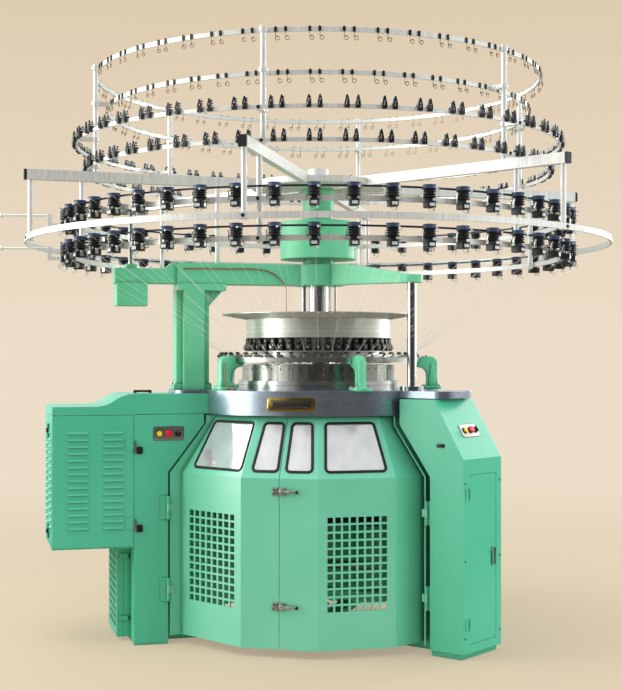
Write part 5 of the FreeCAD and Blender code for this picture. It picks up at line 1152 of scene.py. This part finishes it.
# Even light on paint. Shiny metal mirrors white screens at the left, the right, behind and above, and is dark
# in front. Each row is an angle and a rise, the span where the glow grows, and its low and high strength.
room = {"even": (0, 30, -0.7, 0.9, 0.30, 0.92),
        "screens": [(-70, 10, 0.55, 0.85, 0.05, 0.9), (108, 10, 0.78, 0.95, 0, 0.7),
                    (195, 0, 0.1, 0.5, 0, 0.8), (0, 90, 0.5, 0.78, 0, 0.75)]}
even = glowFrom(*room["even"])
mirrored = summed([glowFrom(*screen) for screen in room["screens"]])
lit = addNode(tree, "Background", {"Color": hexColour(backdrop["light"])}, {"Strength": even})
mirror = addNode(tree, "Background", {"Color": hexColour(backdrop["screens"])}, {"Strength": mirrored})
rise = addNode(tree, "SeparateXYZ", links={"Vector": direction}).outputs["Z"]
seenColour = blended(tree, spread(tree, rise, 0, 1, *backdrop["topFrom"]), backdrop["far"], backdrop["top"])
seen = addNode(tree, "Background", {"Strength": 1.0}, {"Color": seenColour})
ray = addNode(tree, "LightPath")
choose = addNode(tree, "MixShader")
tree.links.new(ray.outputs["Is Camera Ray"], choose.inputs[0])
shiny = addNode(tree, "MixShader")
tree.links.new(ray.outputs["Is Glossy Ray"], shiny.inputs[0])
tree.links.new(lit.outputs["Background"], shiny.inputs[1])
tree.links.new(mirror.outputs["Background"], shiny.inputs[2])
tree.links.new(shiny.outputs["Shader"], choose.inputs[1])
tree.links.new(seen.outputs["Background"], choose.inputs[2])
addNode(tree, "OutputWorld", links={"Surface": choose.outputs["Shader"]})


def areaLamp(name, angle, height, distance, width, tall, watts, colour, aim=1.3):
    # softbox at an angle round the machine, facing its axis
    light = bpy.data.lights.new(name, "AREA")
    light.shape = "RECTANGLE"
    light.size, light.size_y = width, tall
    light.energy = watts
    light.color = hexColour(colour)[:3]
    lamp = bpy.data.objects.new(name, light)
    lamp.location = outward(angle) * distance + Vector((0, 0, height))
    lamp.rotation_euler = (Vector((0, 0, aim)) - lamp.location).to_track_quat("-Z", "Y").to_euler()
    bpy.context.scene.collection.objects.link(lamp)
    return lamp


# angle, height and distance of each lamp, its width and height, its watts, its colour and the height it faces
areaLamp("key_softbox", -68, 2.6, 5.8, 4.4, 5.2, 330, "#FFFEFA", 1.1)
areaLamp("top_softbox", -60, 6.6, 2.4, 4.0, 4.0, 200, "#FFFFFF").visible_glossy = False
areaLamp("right_fill", 75, 2.4, 6.0, 2.4, 3.4, 150, "#F4FBFF").visible_glossy = False
areaLamp("rim_strip", 140, 3.0, 5.0, 0.8, 3.2, 90, "#FFFFFF", 2.0)

# level camera where the photograph was taken: turned 15 degrees round the machine, shifted rather than tilted
photoCamera = {"place": (2.004, -7.479, 1.56), "turn": 15, "lens": 69.65, "sensor": 36,
               "shift": (-0.0106, 0.0217)}
lens = bpy.data.cameras.new("photo_camera")
lens.lens = photoCamera["lens"]
lens.sensor_width = photoCamera["sensor"]
lens.shift_x, lens.shift_y = photoCamera["shift"]
camera = bpy.data.objects.new("photo_camera", lens)
camera.location = photoCamera["place"]
camera.rotation_euler = (math.radians(90), 0, math.radians(photoCamera["turn"]))
bpy.context.scene.collection.objects.link(camera)
bpy.context.scene.camera = camera
bpy.context.scene.view_settings.view_transform = "Standard"
